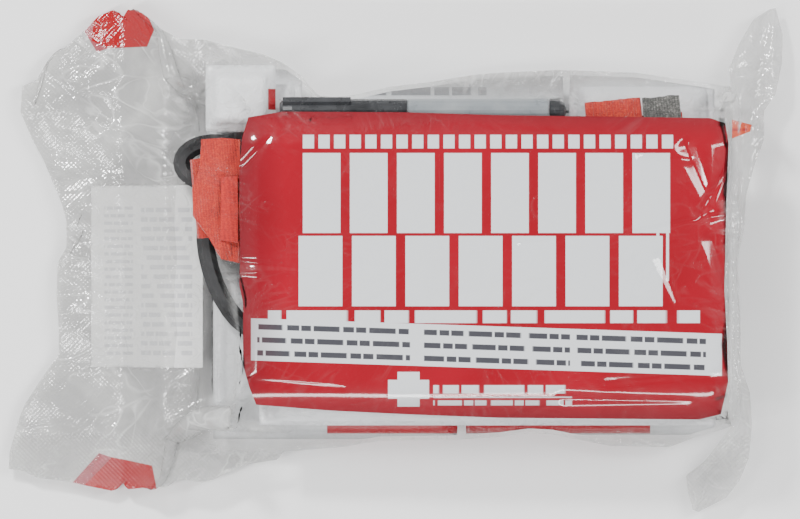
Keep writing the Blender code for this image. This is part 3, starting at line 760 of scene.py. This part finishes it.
def front_sheet_points(goods):
    rows_share = np.linspace(0.0, 1.0, int(262.0 / FILM_STEP))
    spine = [
        (TEAR_X, HEADER_Z), (FOOT_X, SEAM_Z), (-109.5, 27.0), (-104.0, 43.0), (-96.0, 52.5), (-78.0, 64.0),
        (-70.0, 67.3), (148.0, 67.3), (157.5, 65.5), (160.6, 60.0), (161.2, 40.0), (161.6, SEAM_Z + 0.6),
    ]
    body = body_patch(spine, 0.82, rows_share, 88.0, -86.0)
    grid = np.concatenate([header_patch(rows_share)[:-1], body])
    grid[..., 2] += 0.6
    x, y = grid[..., 0], grid[..., 1]
    excess = 0.012 + 0.012 * smooth_noise(x.shape, 9, 3)
    excess += np.where(x < -78, 0.045 + 0.03 * smooth_noise(x.shape, 14, 4), 0.0)
    excess *= np.where((x > -70) & (x < 150) & (np.abs(y) < 60), 0.35, 1.0)
    excess = np.where(x > 146, -0.01, excess)
    return settle(grid, excess, goods, above_goods, 180)


def back_sheet_points(goods):
    rows_share = np.linspace(0.0, 1.0, int(230.0 / FILM_STEP))
    spine = [
        (TEAR_X, HEADER_Z), (FOOT_X, SEAM_Z), (-108.0, 9.0), (-101.0, 0.7), (-90.0, 0.4),
        (150.0, 0.4), (158.0, 1.5), (161.0, 8.0), (161.6, SEAM_Z - 0.6),
    ]
    body = body_patch(spine, 0.72, rows_share, 87.0, -85.0)
    grid = np.concatenate([header_patch(rows_share)[:-1], body])
    grid[..., 2] = np.maximum(grid[..., 2] - 0.6, 0.15)
    excess = 0.03 + 0.02 * smooth_noise(grid.shape[:2], 9, 5)
    return settle(grid, excess, goods, below_goods, 80, seed=2, side=-1.0)


END_RUNGS = [
    ((181.0, 121.2), (184.1, 122.0)), ((173.2, 116.4), (187.5, 109.3)), ((166.1, 104.5), (187.0, 95.0)),
    ((161.0, 92.6), (183.5, 80.0)), ((162.2, 80.0), (178.0, 72.0)), ((162.2, 60.0), (178.0, 58.0)),
    ((162.2, 45.0), (173.5, 46.0)), ((162.2, 30.0), (169.5, 32.0)), ((162.2, 15.0), (168.5, 16.0)),
    ((162.2, 0.0), (165.2, 0.0)), ((162.2, -30.0), (166.5, -30.0)), ((162.2, -50.0), (166.5, -50.0)),
    ((162.2, -66.0), (171.2, -64.0)), ((162.2, -80.0), (172.2, -80.0)), ((154.0, -91.0), (170.5, -96.0)),
    ((149.0, -97.5), (166.0, -107.0)), ((140.5, -104.0), (159.9, -115.0)),
    ((141.4, -111.6), (153.0, -118.5)), ((143.8, -120.9), (146.6, -122.0)),
]


def end_points():
    """The sealed end and its two long ears, folded lengthwise."""
    rungs = np.array(END_RUNGS)
    share = np.linspace(0.0, 1.0, 190)
    inner, outer = along(rungs[:, 0], share), along(rungs[:, 1], share)
    t = np.linspace(0.0, 1.0, 16)
    plan = inner[:, None] + (outer - inner)[:, None] * t[None, :, None]
    x, y = plan[..., 0], plan[..., 1]
    beyond = np.hypot(np.maximum(x - HINGE_X, 0.0), np.maximum(np.abs(y) - 84.0, 0.0))
    fold = 1.3 * np.sin(t * 9.0 + 1.5 * smooth_noise(x.shape, 12, 61, (1, 0.3)) + y / 16.0)
    crumple = 1.2 * smooth_noise(x.shape, 26, 62, (1, 0.25))
    width = np.linalg.norm(outer - inner, axis=1)[:, None]
    rise = (fold + crumple) * np.clip(width / 14.0, 0.1, 1.0) * np.clip(beyond / 9.0, 0.0, 1.0)
    z = SEAM_Z - 0.26 * beyond + rise
    return np.stack([x, y, z], axis=-1)


def with_cling(piece, goods):
    """Stores how closely each point of a film lies on the goods: 1 in touch, 0 where it stands free."""
    p = np.array([v.co for v in piece.data.vertices]) / MM
    x, y = p[:, 0], p[:, 1]
    away = goods.distance(p)
    label = np.abs(p[:, 2] - label_height(x, y)) - 2.0
    away = np.where(within(LABEL_OUTLINE, x, y, 5.0), np.minimum(away, label), away)
    on_card = within(CARD_OUTLINE, x, y)
    away = np.where(on_card, np.minimum(away, TOUCHING + 0.35 * CLING_REACH), away)
    values = 1.0 - np.clip((away - TOUCHING) / CLING_REACH, 0.0, 1.0)
    layer = piece.data.attributes.new("cling", "FLOAT", "POINT")
    layer.data.foreach_set("value", values.astype(np.float32))


# Red notch tabs, and the paler strip of film beside each
UPPER_TAB = [
    (-147.0, 106.0), (-139.0, 102.6), (-120.0, 103.0), (-116.5, 111.0), (-122.0, 124.0), (-146.0, 124.0),
]
UPPER_TINT = [(-144.6, 100.6), (-139.0, 102.6), (-147.5, 118.0), (-152.0, 113.0)]
LOWER_TAB = [(-150.5, -109.0), (-150.0, -116.0), (-114.0, -116.0), (-117.5, -99.3), (-137.5, -95.5)]
LOWER_TINT = [(-156.5, -108.0), (-150.0, -110.0), (-137.5, -95.5), (-143.6, -93.6)]


def film_material():
    """Hazy film that turns clear where it lies on something, with painted highlight streaks along its
    creases and red notch tabs.
    """
    g = Graph("clear_film", 0.11, IOR=1.9)
    vector, x, y, _ = g.place()
    cling = g.node("Attribute")
    cling.attribute_name = "cling"
    haze = g.noise(vector, 0.022, 4.0, 0.55, 0.8)
    angle = g.maths("ARCTAN2", y, g.less(x, 20.0))
    reach = g.maths("SQRT", g.plus(g.times(x, x), g.times(y, y)))
    radial = g.node("CombineXYZ", X=g.times(angle, 22.0), Y=g.times(reach, 0.06)).outputs[0]
    streaks = g.noise(radial, 0.55, 2.0, 0.4, 0.6)
    creases = g.noise(vector, 0.03, 2.2, 0.42, 1.2)
    streak_ridge = g.ranged(g.away_from(streaks, 0.5), 0.035, 0.0)
    crease_ridge = g.ranged(g.away_from(creases, 0.5), 0.022, 0.0)
    patchy = g.times(g.less(g.noise(vector, 0.03, 2.0), 0.42), 4.0, clamp=True)
    ridge = g.times(g.largest(streak_ridge, crease_ridge), patchy)
    cleared = g.less(1.0, g.times(cling.outputs["Fac"], 0.995))
    alpha = g.times(g.ranged(haze, 0.3, 0.75, 0.5, 0.76), cleared)
    alpha = g.plus(alpha, g.times(ridge, g.maths("MULTIPLY_ADD", cleared, 0.25, 0.03)), clamp=True)
    tabs = g.largest(g.polygon(x, y, UPPER_TAB), g.polygon(x, y, LOWER_TAB))
    tints = g.largest(g.polygon(x, y, UPPER_TINT), g.polygon(x, y, LOWER_TINT))
    alpha = g.largest(alpha, g.times(tabs, 0.93), g.times(tints, 0.6))
    colour = g.ramp(haze, [(0.32, (0.4, 0.4, 0.395)), (0.72, (0.62, 0.62, 0.605))])
    # Painted highlight: the crease ridges are mixed towards near-white, standing in for the bright highlight
    # streaks along them.
    colour = g.mix(g.times(ridge, 0.6), colour, (0.85, 0.85, 0.84))
    colour = g.mix(tints, colour, (0.42, 0.08, 0.1))
    colour = g.mix(tabs, colour, (0.36, 0.004, 0.008))
    emboss = g.times(g.maths("SINE", g.times(x, 2.9)), g.maths("SINE", g.times(y, 2.9)))
    rim = g.maths("MULTIPLY_ADD", g.ranged(y, -83.0, -85.0), 0.12, 0.02)
    height = g.plus(g.times(streaks, 2.4), g.times(creases, 1.7))
    height = g.plus(height, g.times(ridge, 0.12))
    g.bump(g.plus(height, g.times(emboss, rim)), 0.7, 2.6)
    return g.finish(Base_Color=colour, Alpha=alpha)


def make_film():
    mat = film_material()
    goods = make_obstacles()
    front = front_sheet_points(goods)
    back = back_sheet_points(goods)
    split = len(HEADER_SHARE) - 1
    pieces = [
        grid_piece("front_sheet", front[split:], mat, None, ["front_film"]),
        grid_piece("header_front", front[:split + 1], mat, "header", ["tear_strip"]),
        grid_piece("back_sheet", back[split:], mat, "pack", ["back_film"]),
        grid_piece("header_back", back[:split + 1], mat, "header"),
        grid_piece("end_sheet", end_points(), mat, "pack", ["end_seal"]),
    ]
    for piece in pieces:
        with_cling(piece, goods)
    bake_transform(pieces[0])


# ---- fabric, plastic, paper and metal ----

YARN = 0.9                  # width of a yarn of the webbing

def webbing_material(name, colours, rib=1.3, pile=0.0):
    """Woven tape: ribs across its run, two tones of yarn and, where wanted, a fuzzy loop pile."""
    g = Graph(name, 0.8, Sheen_Weight=0.4, Sheen_Roughness=0.5)
    vector = g.place()[0]
    turned = g.node("VectorRotate", Vector=vector, Angle=-math.radians(BAND_ANGLE))
    turned.rotation_type = "Z_AXIS"
    run, across, _ = g.split(turned.outputs[0])
    weave = g.plus(g.times(g.wave(run, rib), 0.3), g.times(g.wave(across, YARN), 0.2))
    fuzz = g.noise(vector, 1.1, 3.0, 0.7)
    mottle = g.noise(vector, 0.12, 3.0, 0.6)
    tone = g.plus(g.times(fuzz, 0.75), g.times(mottle, 0.35))
    tone = g.plus(tone, g.times(weave, 0.12))
    g.bump(g.plus(weave, g.times(fuzz, 0.6 + 2.5 * pile)), 0.6, 0.25 + 0.4 * pile)
    return g.finish(Base_Color=g.ramp(tone, list(zip((0.3, 0.55, 0.8), colours))))


def plastic_material(name, dark, light, roughness=0.42, grain=0.5):
    """Moulded plastic with a fine grain and slightly rubbed patches."""
    g = Graph(name)
    vector = g.place()[0]
    rub = g.noise(vector, 0.08, 4.0, 0.6)
    g.bump(g.noise(vector, 1.6, 2.0), 0.25 * grain, 0.1)
    rough = g.ramp(rub, [(0.3, (roughness - 0.08,) * 3), (0.8, (roughness + 0.1,) * 3)])
    return g.finish(Base_Color=g.ramp(rub, [(0.35, dark), (0.75, light)]), Roughness=rough)


def steel_material():
    """Brushed steel, ground along the blades."""
    g = Graph("brushed_steel", metallic=1.0)
    stretched = g.node("Mapping", Vector=g.place()[0], Scale=(0.08, 2.2, 2.2))
    lines = g.noise(stretched.outputs[0], 1.0, 3.0, 0.7)
    g.bump(lines, 0.05, 0.02)
    colour = g.ramp(lines, [(0.3, (0.33, 0.335, 0.345)), (0.7, (0.43, 0.435, 0.445))])
    return g.finish(Base_Color=colour, Roughness=g.ramp(lines, [(0.3, (0.32,) * 3), (0.8, (0.45,) * 3)]))


def wrap_material(name, paper, ink, rows, bands=(), roughness=0.35):
    """A sealed wrapper: crinkled, faintly mottled, with grey rows of unreadable print and coloured bands.

    rows holds (low x, high x, low y, high y, seed); bands holds (low x, high x, low y, high y, colour).
    """
    g = Graph(name, roughness, Coat_Weight=0.3, Coat_Roughness=0.2)
    vector, x, y, _ = g.place()
    mottle = g.noise(vector, 0.06, 4.0, 0.6)
    colour = g.ramp(mottle, [(0.3, tuple(0.93 * c for c in paper)), (0.75, paper)])
    if rows:
        colour = g.mix(g.largest(*(g.word_row(x, y, *row) for row in rows)), colour, ink)
    for *edges, tint in bands:
        colour = g.mix(g.rectangle(x, y, *edges), colour, tint)
    g.bump(g.away_from(g.noise(vector, 0.16, 4.0, 0.55, 1.2), 0.5), 0.7, 2.2)
    return g.finish(Base_Color=colour)


# ---- goods in the pouch ----

PACK_STEP = 2.0             # spacing of the packs' points
FILM_CLEAR = 2.2            # between a pack's rim and the seam of the pouch
WHITE = (0.72, 0.73, 0.745)
INK = (0.16, 0.17, 0.19)
FAINT_INK = (0.4, 0.41, 0.43)
PACK_RED = (0.36, 0.004, 0.012)

def crinkle(shape, cells, seed, stretch=(1, 1)):
    """Sharp-edged folds: the ridges of a soft random field, at two sizes."""
    big = 1.0 - np.abs(smooth_noise(shape, cells, seed, stretch)) * 2.0
    small = 1.0 - np.abs(smooth_noise(shape, cells * 2.3, seed + 50, stretch)) * 2.0
    return 0.65 * big + 0.35 * small


def pillow(name, low, high, mat, slot, seed, flange, folds, node, bulge=7.0):
    """A vacuum-sealed pack: two crinkled films over a soft block, joined in a flat crimped rim."""
    low, high = np.array(low, float), np.array(high, float)
    size = high - low
    middle = (low + high) / 2
    columns, rows = int(size[0] / PACK_STEP) + 2, int(size[1] / PACK_STEP) + 2
    x = np.linspace(low[0], high[0], columns)
    y = np.linspace(low[1], high[1], rows)
    gx, gy = np.meshgrid(x, y, indexing="ij")
    u = np.clip(np.abs(gx - middle[0]) / (size[0] / 2 - flange[0]), 0, 1)
    v = np.clip(np.abs(gy - middle[1]) / (size[1] / 2 - flange[1]), 0, 1)
    dome = ((1 - u**bulge) * (1 - v**bulge)) ** 0.5
    half = size[2] / 2
    fold = folds * (crinkle(gx.shape, max(columns, rows) / 9, seed) - 0.6)
    wave = 0.5 * smooth_noise(gx.shape, 14, seed + 9) * (dome < 0.3)
    crimp = 0.25 * np.sin(gx * 2 * math.pi / 3.2) * (dome < 0.02)
    above = np.clip((half - 0.4 * folds) * dome + fold * dome**0.5 + 0.2, 0.1, half)
    below = np.clip((half - 0.3) * dome + 0.2, 0.1, half)
    pinch = 0.8 * smooth_noise(gx.shape, 10, seed + 20)
    rim_x = np.clip(gx + pinch * (v > 0.98) * 0.5, low[0], high[0])
    film_low = np.interp(rim_x, *np.array(BOTTOM_EDGE).T) + FILM_CLEAR
    film_high = np.interp(rim_x, *np.array(TOP_EDGE).T) - FILM_CLEAR
    rim_y = gy + pinch * (u > 0.98) * 0.5
    rim_y = np.clip(rim_y, np.maximum(low[1], film_low), np.minimum(high[1], film_high))
    heights = (middle[2] + above + wave + crimp, middle[2] - below + wave + crimp)
    upper, lower = (np.stack([rim_x, rim_y, height], axis=-1).reshape(-1, 3) for height in heights)
    faces = grid_faces(columns, rows)
    faces += [tuple(reversed(f)) for f in grid_faces(columns, rows, start=len(upper))]
    ring = [i * rows for i in range(columns)] + [(columns - 1) * rows + j for j in range(1, rows)]
    ring += [i * rows + rows - 1 for i in range(columns - 2, -1, -1)] + list(range(rows - 2, 0, -1))
    for a, b in zip(ring, ring[1:] + ring[:1]):
        faces.append((a, b, b + len(upper), a + len(upper)))
    points = np.concatenate([upper, lower])
    pack = object_from(name, points, faces, mat, "pack", [node] if node else ())


def node_box(node, grow=(0, 0, 0, 0)):
    """The box of a CAD node in millimetres, its X and Y sides moved out by -X, +X, -Y and +Y."""
    low, high = (np.array(c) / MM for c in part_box(node))
    low = low - np.array([grow[0], grow[2], 0.0])
    high = high + np.array([grow[1], grow[3], 0.0])
    return low, high


def print_rows(low_x, high_x, first_y, tall, step, count, seed):
    """Rows of print for a wrapper, upwards from first_y."""
    return [
        (low_x, high_x, first_y + step * k, first_y + step * k + tall, seed + k) for k in range(count)
    ]


def make_packs():
    dressing = wrap_material("dressing_wrap", WHITE, INK, print_rows(-50, 140, -68, 4, 9, 5, 0))
    box = node_box("trauma_dressing", (5, 1, 0, 0))
    pillow("dressing_pack", *box, dressing, "white_wrap", 11, (7, 2), 1.6, "trauma_dressing")
    rows = print_rows(-24, 76, 8, 3, 11, 6, 20) + [(-24, 44, 79.5, 83.5, 31)]
    foil = wrap_material("hemostatic_wrap", (0.6, 0.62, 0.64), INK, rows)
    box = node_box("hemostatic_gauze", (1, 1, 0, 15))
    pillow("hemostatic_pack", *box, foil, "foil_wrap", 12, (5, 10), 1.5, "hemostatic_gauze")
    for i, grow in enumerate(((5, 1, 0, 10), (0, 1, 0, 12))):
        node = f"compressed_gauze_{i + 1}"
        low, high = node_box(node, grow)
        rows = print_rows(low[0] + 6, high[0] - 6, low[1] + 9, 3, 9, 6, 40 + 7 * i)
        wrap = wrap_material(f"gauze_wrap_{i + 1}", WHITE, FAINT_INK, rows)
        pillow(f"gauze_pack_{i + 1}", low, high, wrap, "white_wrap", 13 + i, (4, 6), 1.4, node)
    mark = (-61, -55, 72, 82, PACK_RED)
    plain = wrap_material("gauze_wrap_end", (0.78, 0.79, 0.8), FAINT_INK, [], [mark])
    pillow("gauze_pack_1_end", *GAUZE_END, plain, "white_wrap", 23, (3, 3), 1.2, None)
    edge = [(-33, 123, -83.8, -77.0, PACK_RED), (-34.9, -33.9, -79.5, -70, PACK_RED)]
    for i in range(2):
        node = f"gloves_{i + 1}"
        low, high = node_box(node, (2 * (1 - i), i, 6.5, 0))
        rows = [(low[0] + 20, high[0] - 20, -50, -44, 60 + i)]
        glove = wrap_material(f"glove_bag_{i + 1}", (0.6, 0.61, 0.62), INK, rows, edge)
        pillow(f"glove_pack_{i + 1}", low, high, glove, "white_wrap", 15 + i, (4, 5), 1.8, node)
    for i in range(2):
        node = f"chest_seal_{i + 1}"
        seal = wrap_material(f"seal_wrap_{i + 1}", WHITE, INK, print_rows(0, 110, -40, 5, 14, 6, 70))
        pillow(f"seal_pack_{i + 1}", *node_box(node), seal, "foil_wrap", 17 + i, (5, 5), 0.3, node, 14.0)


def band_frame(points):
    """Points of the tourniquet's own frame, along, across and up, in the pouch's frame."""
    c, s = math.cos(math.radians(BAND_ANGLE)), math.sin(math.radians(BAND_ANGLE))
    u, v, z = np.moveaxis(np.asarray(points, float), -1, 0)
    return np.stack([BAND_ORIGIN[0] + u * c - v * s, BAND_ORIGIN[1] + u * s + v * c, z], axis=-1)


def tape(name, path, low_v, high_v, thick, mat, node, seed, sway):
    """A woven tape of the tourniquet along a path of (u, z), with uneven edges and soft ripples."""
    path = np.asarray(path, float)
    count = max(int(np.linalg.norm(np.diff(path, axis=0), axis=1).sum() / 1.2), 6)
    run = along(path, np.linspace(0, 1, count))
    across = max(int((high_v - low_v) / 1.5), 4)
    v = np.linspace(low_v, high_v, across)
    tangent = np.gradient(run, axis=0)
    tangent /= np.maximum(np.linalg.norm(tangent, axis=1, keepdims=True), 1e-9)
    ripple = sway * smooth_noise((count, across), 12, seed, (1, 0.4))
    edge = 0.3 * smooth_noise((count, 3), 20, seed + 5)[:, :1]
    u = run[:, None, 0] - tangent[:, None, 1] * ripple
    z = run[:, None, 1] + tangent[:, None, 0] * ripple
    outward = np.sign(v - (low_v + high_v) / 2)
    points = np.stack([u, v + edge * outward, z], axis=-1)
    piece = grid_piece(name, band_frame(points), mat, "tourniquet", [node])
    thicken(piece, thick, rounding=0.25)


def fold_path(half, low, pitch, layers):
    """A strip folded to and fro in level layers with round turns."""
    path = [(-half, low)]
    for layer in range(layers - 1):
        side = 1 if layer % 2 == 0 else -1
        middle = low + pitch * (layer + 0.5)
        for k in range(7):
            t = math.radians(-90 + 30 * k)
            path.append((side * (half + pitch / 2 * math.cos(t)), middle + pitch / 2 * math.sin(t)))
    path.append((-half if layers % 2 == 0 else half, low + pitch * (layers - 1)))
    return path


def make_tourniquet():
    orange = webbing_material(
        "orange_webbing", [(0.24, 0.005, 0.002), (0.46, 0.012, 0.004), (0.68, 0.07, 0.02)], pile=1.0)
    red_rib = webbing_material(
        "ribbed_webbing", [(0.2, 0.004, 0.003), (0.42, 0.008, 0.005), (0.6, 0.03, 0.012)], rib=2.2)
    hook = webbing_material(
        "hook_tape", [(0.02, 0.02, 0.02), (0.07, 0.07, 0.065), (0.3, 0.29, 0.27)], pile=0.6)
    ribbon = webbing_material("ribbon_webbing", [(0.02, 0.02, 0.022), (0.05, 0.05, 0.055), (0.1, 0.1, 0.1)])
    grey = webbing_material("grey_webbing", [(0.3, 0.3, 0.3), (0.52, 0.52, 0.51), (0.66, 0.66, 0.65)])
    layers = fold_path(116.5, 42.4, 2.2, 4)
    over_buckle = [(-108, 51.2), (-89.3, 51.2), (-82.8, 55.6), (-75.2, 55.6), (-68.7, 51.2), (-62, 51.2)]
    ridges = [(72.2 + 0.8 * k, 52.0 + 0.75 * math.sin(0.8 * k * 2 * math.pi / 6.6)) for k in range(34)]
    tip = [(99.5, 51.5), (117.3, 51.5)]
    tape("folded_band", layers, -19.0, 19.0, 1.5, orange, "band", 31, 0.18)
    tape("buckle_strap", over_buckle, -18.0, 18.0, 1.1, red_rib, "running_strap", 32, 0.1)
    tape("free_tail", ridges, 2.2, 27.8, 1.6, orange, "band_tail", 33, 0.25)
    tape("tail_tip", tip, 6.2, 27.3, 1.7, hook, "hook_tip", 34, 0.15)
    make_time_tab(grey)
    make_ribbon(ribbon)
    make_slack(orange, red_rib)


def make_time_tab(mat):
    """The time strap beside the clip; its free end curls up, so it lies down over the clip when folded."""
    u, v = np.meshgrid(np.linspace(21.0, 39.0, 15), np.linspace(-40.0, -11.8, 22), indexing="ij")
    curl = 2.1 * np.clip((-23.0 - v) / 17.0, 0.0, 1.0) ** 1.6
    z = 57.5 + curl + 0.1 * smooth_noise(u.shape, 12, 35)
    points = band_frame(np.stack([u, v, z], axis=-1))
    thicken(grid_piece("time_tab", points, mat, "strap", ["time_strap"]), 0.6)


def make_slack(orange, red_rib):
    """Loose band bunched over the left end of the folded tourniquet, with a strip of ribbed strap on it."""
    low = [(-83.0, 0.5), (-74.6, -1.5)]
    high = [(-92.5, 57.5), (-83.0, 58.2), (-74.0, 57.5)]
    left = [(-83.0, 0.5), (-88.0, 9.0), (-96.5, 21.0), (-97.0, 34.0), (-93.6, 43.0), (-92.5, 57.5)]
    right = [(-74.6, -1.5), (-73.6, 20.0), (-74.0, 57.5)]
    plan = outline_patch(low, high, left, right, 26, 60)
    x, y = plan[..., 0], plan[..., 1]
    folds = 1.0 * np.sin((x - 0.5 * y) / 2.4) * np.clip((44.0 - y) / 20.0, 0.0, 1.0)
    z = 54.1 + folds + 0.5 * smooth_noise(x.shape, 16, 91) - 0.6 * np.clip((-90.0 - x) / 5.0, 0.0, 1.0)
    low = [(-83.4, 9.5), (-75.0, 8.0)]
    high = [(-83.0, 39.5), (-75.2, 40.0)]
    strip = outline_patch(low, high, [low[0], high[0]], [low[1], high[1]], 8, 24)
    bow = 56.4 + 0.4 * np.sin(strip[..., 1] / 4.0)
    bunch = grid_piece("band_slack", with_height(plan, z), orange, "tourniquet")
    strap = grid_piece("ribbed_strip", with_height(strip, bow), red_rib, "tourniquet")
    thicken(bunch, 0.9)
    thicken(strap, 0.9)


def make_ribbon(mat):
    """The inner ribbon: it rises from the base plate, threads the slot of the rod and goes back down."""
    rise = [(-7.2, 52.3), (-6.8, 56.0), (-6.2, 59.6), (-5.0, 61.4), (-2.0, 61.9)]
    arch = rise + [(-v, z) for v, z in reversed(rise)]
    run = along(arch, np.linspace(0, 1, 46))
    u = np.linspace(-20.0, 0.0, 16)
    ripple = 0.15 * smooth_noise((len(run), len(u)), 10, 41)
    narrow = 1.0 - 0.06 * np.clip((run[:, 1] - 58.0) / 3.0, 0, 1)
    across = -10.0 + (u + 10.0) * narrow[:, None]
    height = run[:, 1:] * np.ones_like(across)
    points = np.stack([across, run[:, :1] + ripple * 0.6, height], axis=-1)
    points = band_frame(points)
    piece = grid_piece("rod_ribbon", points, mat, "tourniquet", ["inner_ribbon"])
    thicken(piece, 0.9)
    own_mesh(piece)


def make_end_tab():
    """The orange tear tab of the pack beside the seal, caught between the films of the sealed end."""
    mat = wrap_material("tear_tab", (0.75, 0.07, 0.012), (0.5, 0.01, 0.01), [(160, 170, 62.2, 63.4, 3)])
    share = np.linspace(0.0, 1.0, 12)
    upper = along([(162.4, 67.6), (172.0, 65.2)], share)
    lower = along([(162.4, 58.6), (171.2, 62.0)], share)
    t = np.linspace(0.0, 1.0, 8)[None, :, None]
    plan = lower[:, None] * (1 - t) + upper[:, None] * t
    height = 21.4 + 0.35 * np.sin(plan[..., 0] * 0.9) - 0.2 * (plan[..., 0] - HINGE_X)
    piece = grid_piece("tear_tab", with_height(plan, height), mat, "pack")
    thicken(piece, 0.3, offset=-1.0)


def make_fixed_materials():
    """Finishes for the parts whose shape stays as it is."""
    black = plastic_material("black_plastic", (0.012, 0.012, 0.013), (0.035, 0.035, 0.037))
    handle = plastic_material("handle_plastic", (0.01, 0.01, 0.011), (0.028, 0.028, 0.03), 0.34, 1.0)
    dark = plastic_material("cap_plastic", (0.018, 0.019, 0.021), (0.04, 0.042, 0.046), 0.26)
    grey = plastic_material("barrel_plastic", (0.2, 0.22, 0.235), (0.27, 0.29, 0.3), 0.33)
    felt = plastic_material("felt", (0.01, 0.01, 0.012), (0.03, 0.03, 0.03), 0.9, 3.0)
    steel = steel_material()
    finishes = {
        "buckle": black, "base_plate": black, "windlass_clip": black, "windlass_rod": black,
        "marker_cap": dark, "marker_barrel": grey, "marker_plug": dark, "marker_nib": felt,
        "thumb_handle": handle, "finger_handle": handle, "blade_upper": steel, "blade_lower": steel,
        "shears_pivot": steel,
    }
    for node, mat in finishes.items():
        obj = frame["nodes"][node]
        obj.data.materials.clear()
        obj.data.materials.append(mat)


def make_instruction_card():
    low_x, high_x, low_y, high_y = CARD_OUTLINE
    x, y = np.meshgrid(np.linspace(low_x, high_x, 40), np.linspace(low_y, high_y, 60), indexing="ij")
    bend = 0.0625 * smooth_noise(x.shape, 6, 81)
    z = seam_height(x, y) + bend + 0.6 * np.clip((x - FOOT_X) / 10.0, 0, 1)
    rows = print_rows(-141, -127, -46, 1.6, 3.7, 20, 80) + print_rows(-123, -98, -46, 2.2, 4.6, 16, 105)
    mat = wrap_material("card_print", (0.74, 0.74, 0.73), (0.52, 0.52, 0.535), rows, roughness=0.6)
    points = np.stack([x, y, z], axis=-1)
    piece = grid_piece("card_sheet", points, mat, "pack", ["instruction_card"])
    thicken(piece, 0.3, offset=-1.0)


# ---- label card ----

LABEL_WHITE = (0.62, 0.64, 0.66)

def label_print(g, x, y):
    """White print: two rows of tall blocks, thin rows, a plain cross and some small print beside it."""
    return g.largest(
        g.block_row(x, y, -44.0, 130.5, 12.8, 50.8, 8, 0.8),
        g.block_row(x, y, -46.0, 127.0, -22.0, 11.4, 7, 0.82),
        g.block_row(x, y, -44.0, 132.0, 53.0, 59.5, 24, 0.72),
        g.word_row(x, y, -60.5, 144.7, -30.0, -24.0, 3),
        g.block_row(x, y, 124.0, 130.0, -10.0, 13.0, 2, 0.3),
        g.word_row(x, y, 18.0, 84.0, -63.5, -59.5, 5),
        g.rectangle(x, y, 18.0, 84.0, -65.6, -65.0),
        g.word_row(x, y, 18.0, 84.0, -69.2, -66.8, 6),
        g.rectangle(x, y, 1.0, 11.5, -69.8, -53.2),
        g.rectangle(x, y, -3.5, 16.0, -66.0, -57.0),
    )


def label_material():
    """Glossy red card: white print, a pale panel with three columns of small dark print, and painted shade
    darkening its bent edges and its left end.
    """
    g = Graph("printed_label", 0.4, Coat_Weight=1.0, Coat_Roughness=0.07, Specular_IOR_Level=0.1)
    vector, x, y, z = g.place()
    red = g.ramp(g.noise(vector, 0.02, 3.0), [(0.3, (0.25, 0.0, 0.008)), (0.7, (0.31, 0.0, 0.012))])
    colour = g.mix(label_print(g, x, y), red, LABEL_WHITE)
    slanted = g.plus(y, g.times(x, 0.033))
    colour = g.mix(g.rectangle(x, slanted, -68.6, 155.2, -50.0, -30.0), colour, LABEL_WHITE)
    lines = []
    for column, (low_x, high_x) in enumerate(((-65.7, 7.0), (13.6, 83.0), (86.0, 147.6))):
        for row in print_rows(low_x, high_x, -47.6, 2.6, 6.2, 3, 9 + 4 * column):
            lines.append(g.word_row(x, slanted, *row))
    colour = g.mix(g.largest(*lines), colour, (0.05, 0.05, 0.06))
    # Painted shade: the red darkens where the card bends down (lower z) and towards its left end.
    painted_edge_shade = g.largest(g.ranged(z, 65.8, 59.0), g.ranged(x, -52.0, -74.0))
    colour = g.mix(g.times(painted_edge_shade, 0.6), colour, (0.07, 0.004, 0.007))
    g.bump(g.noise(vector, 0.045, 3.0, 0.5, 1.5), 0.5, 1.6)
    return g.finish(Base_Color=colour)


def make_label():
    plan = outline_patch(LABEL_BOTTOM, LABEL_TOP, LABEL_LEFT, LABEL_RIGHT, 230, 150)
    points = with_height(plan, label_height(plan[..., 0], plan[..., 1]))
    piece = grid_piece("label", points, label_material(), "front", ["label_card"])
    thicken(piece, 0.35, offset=-1.0)


make_camera()
make_stage()
make_fixed_materials()
make_packs()
make_tourniquet()
make_end_tab()
make_instruction_card()
make_label()
make_film()
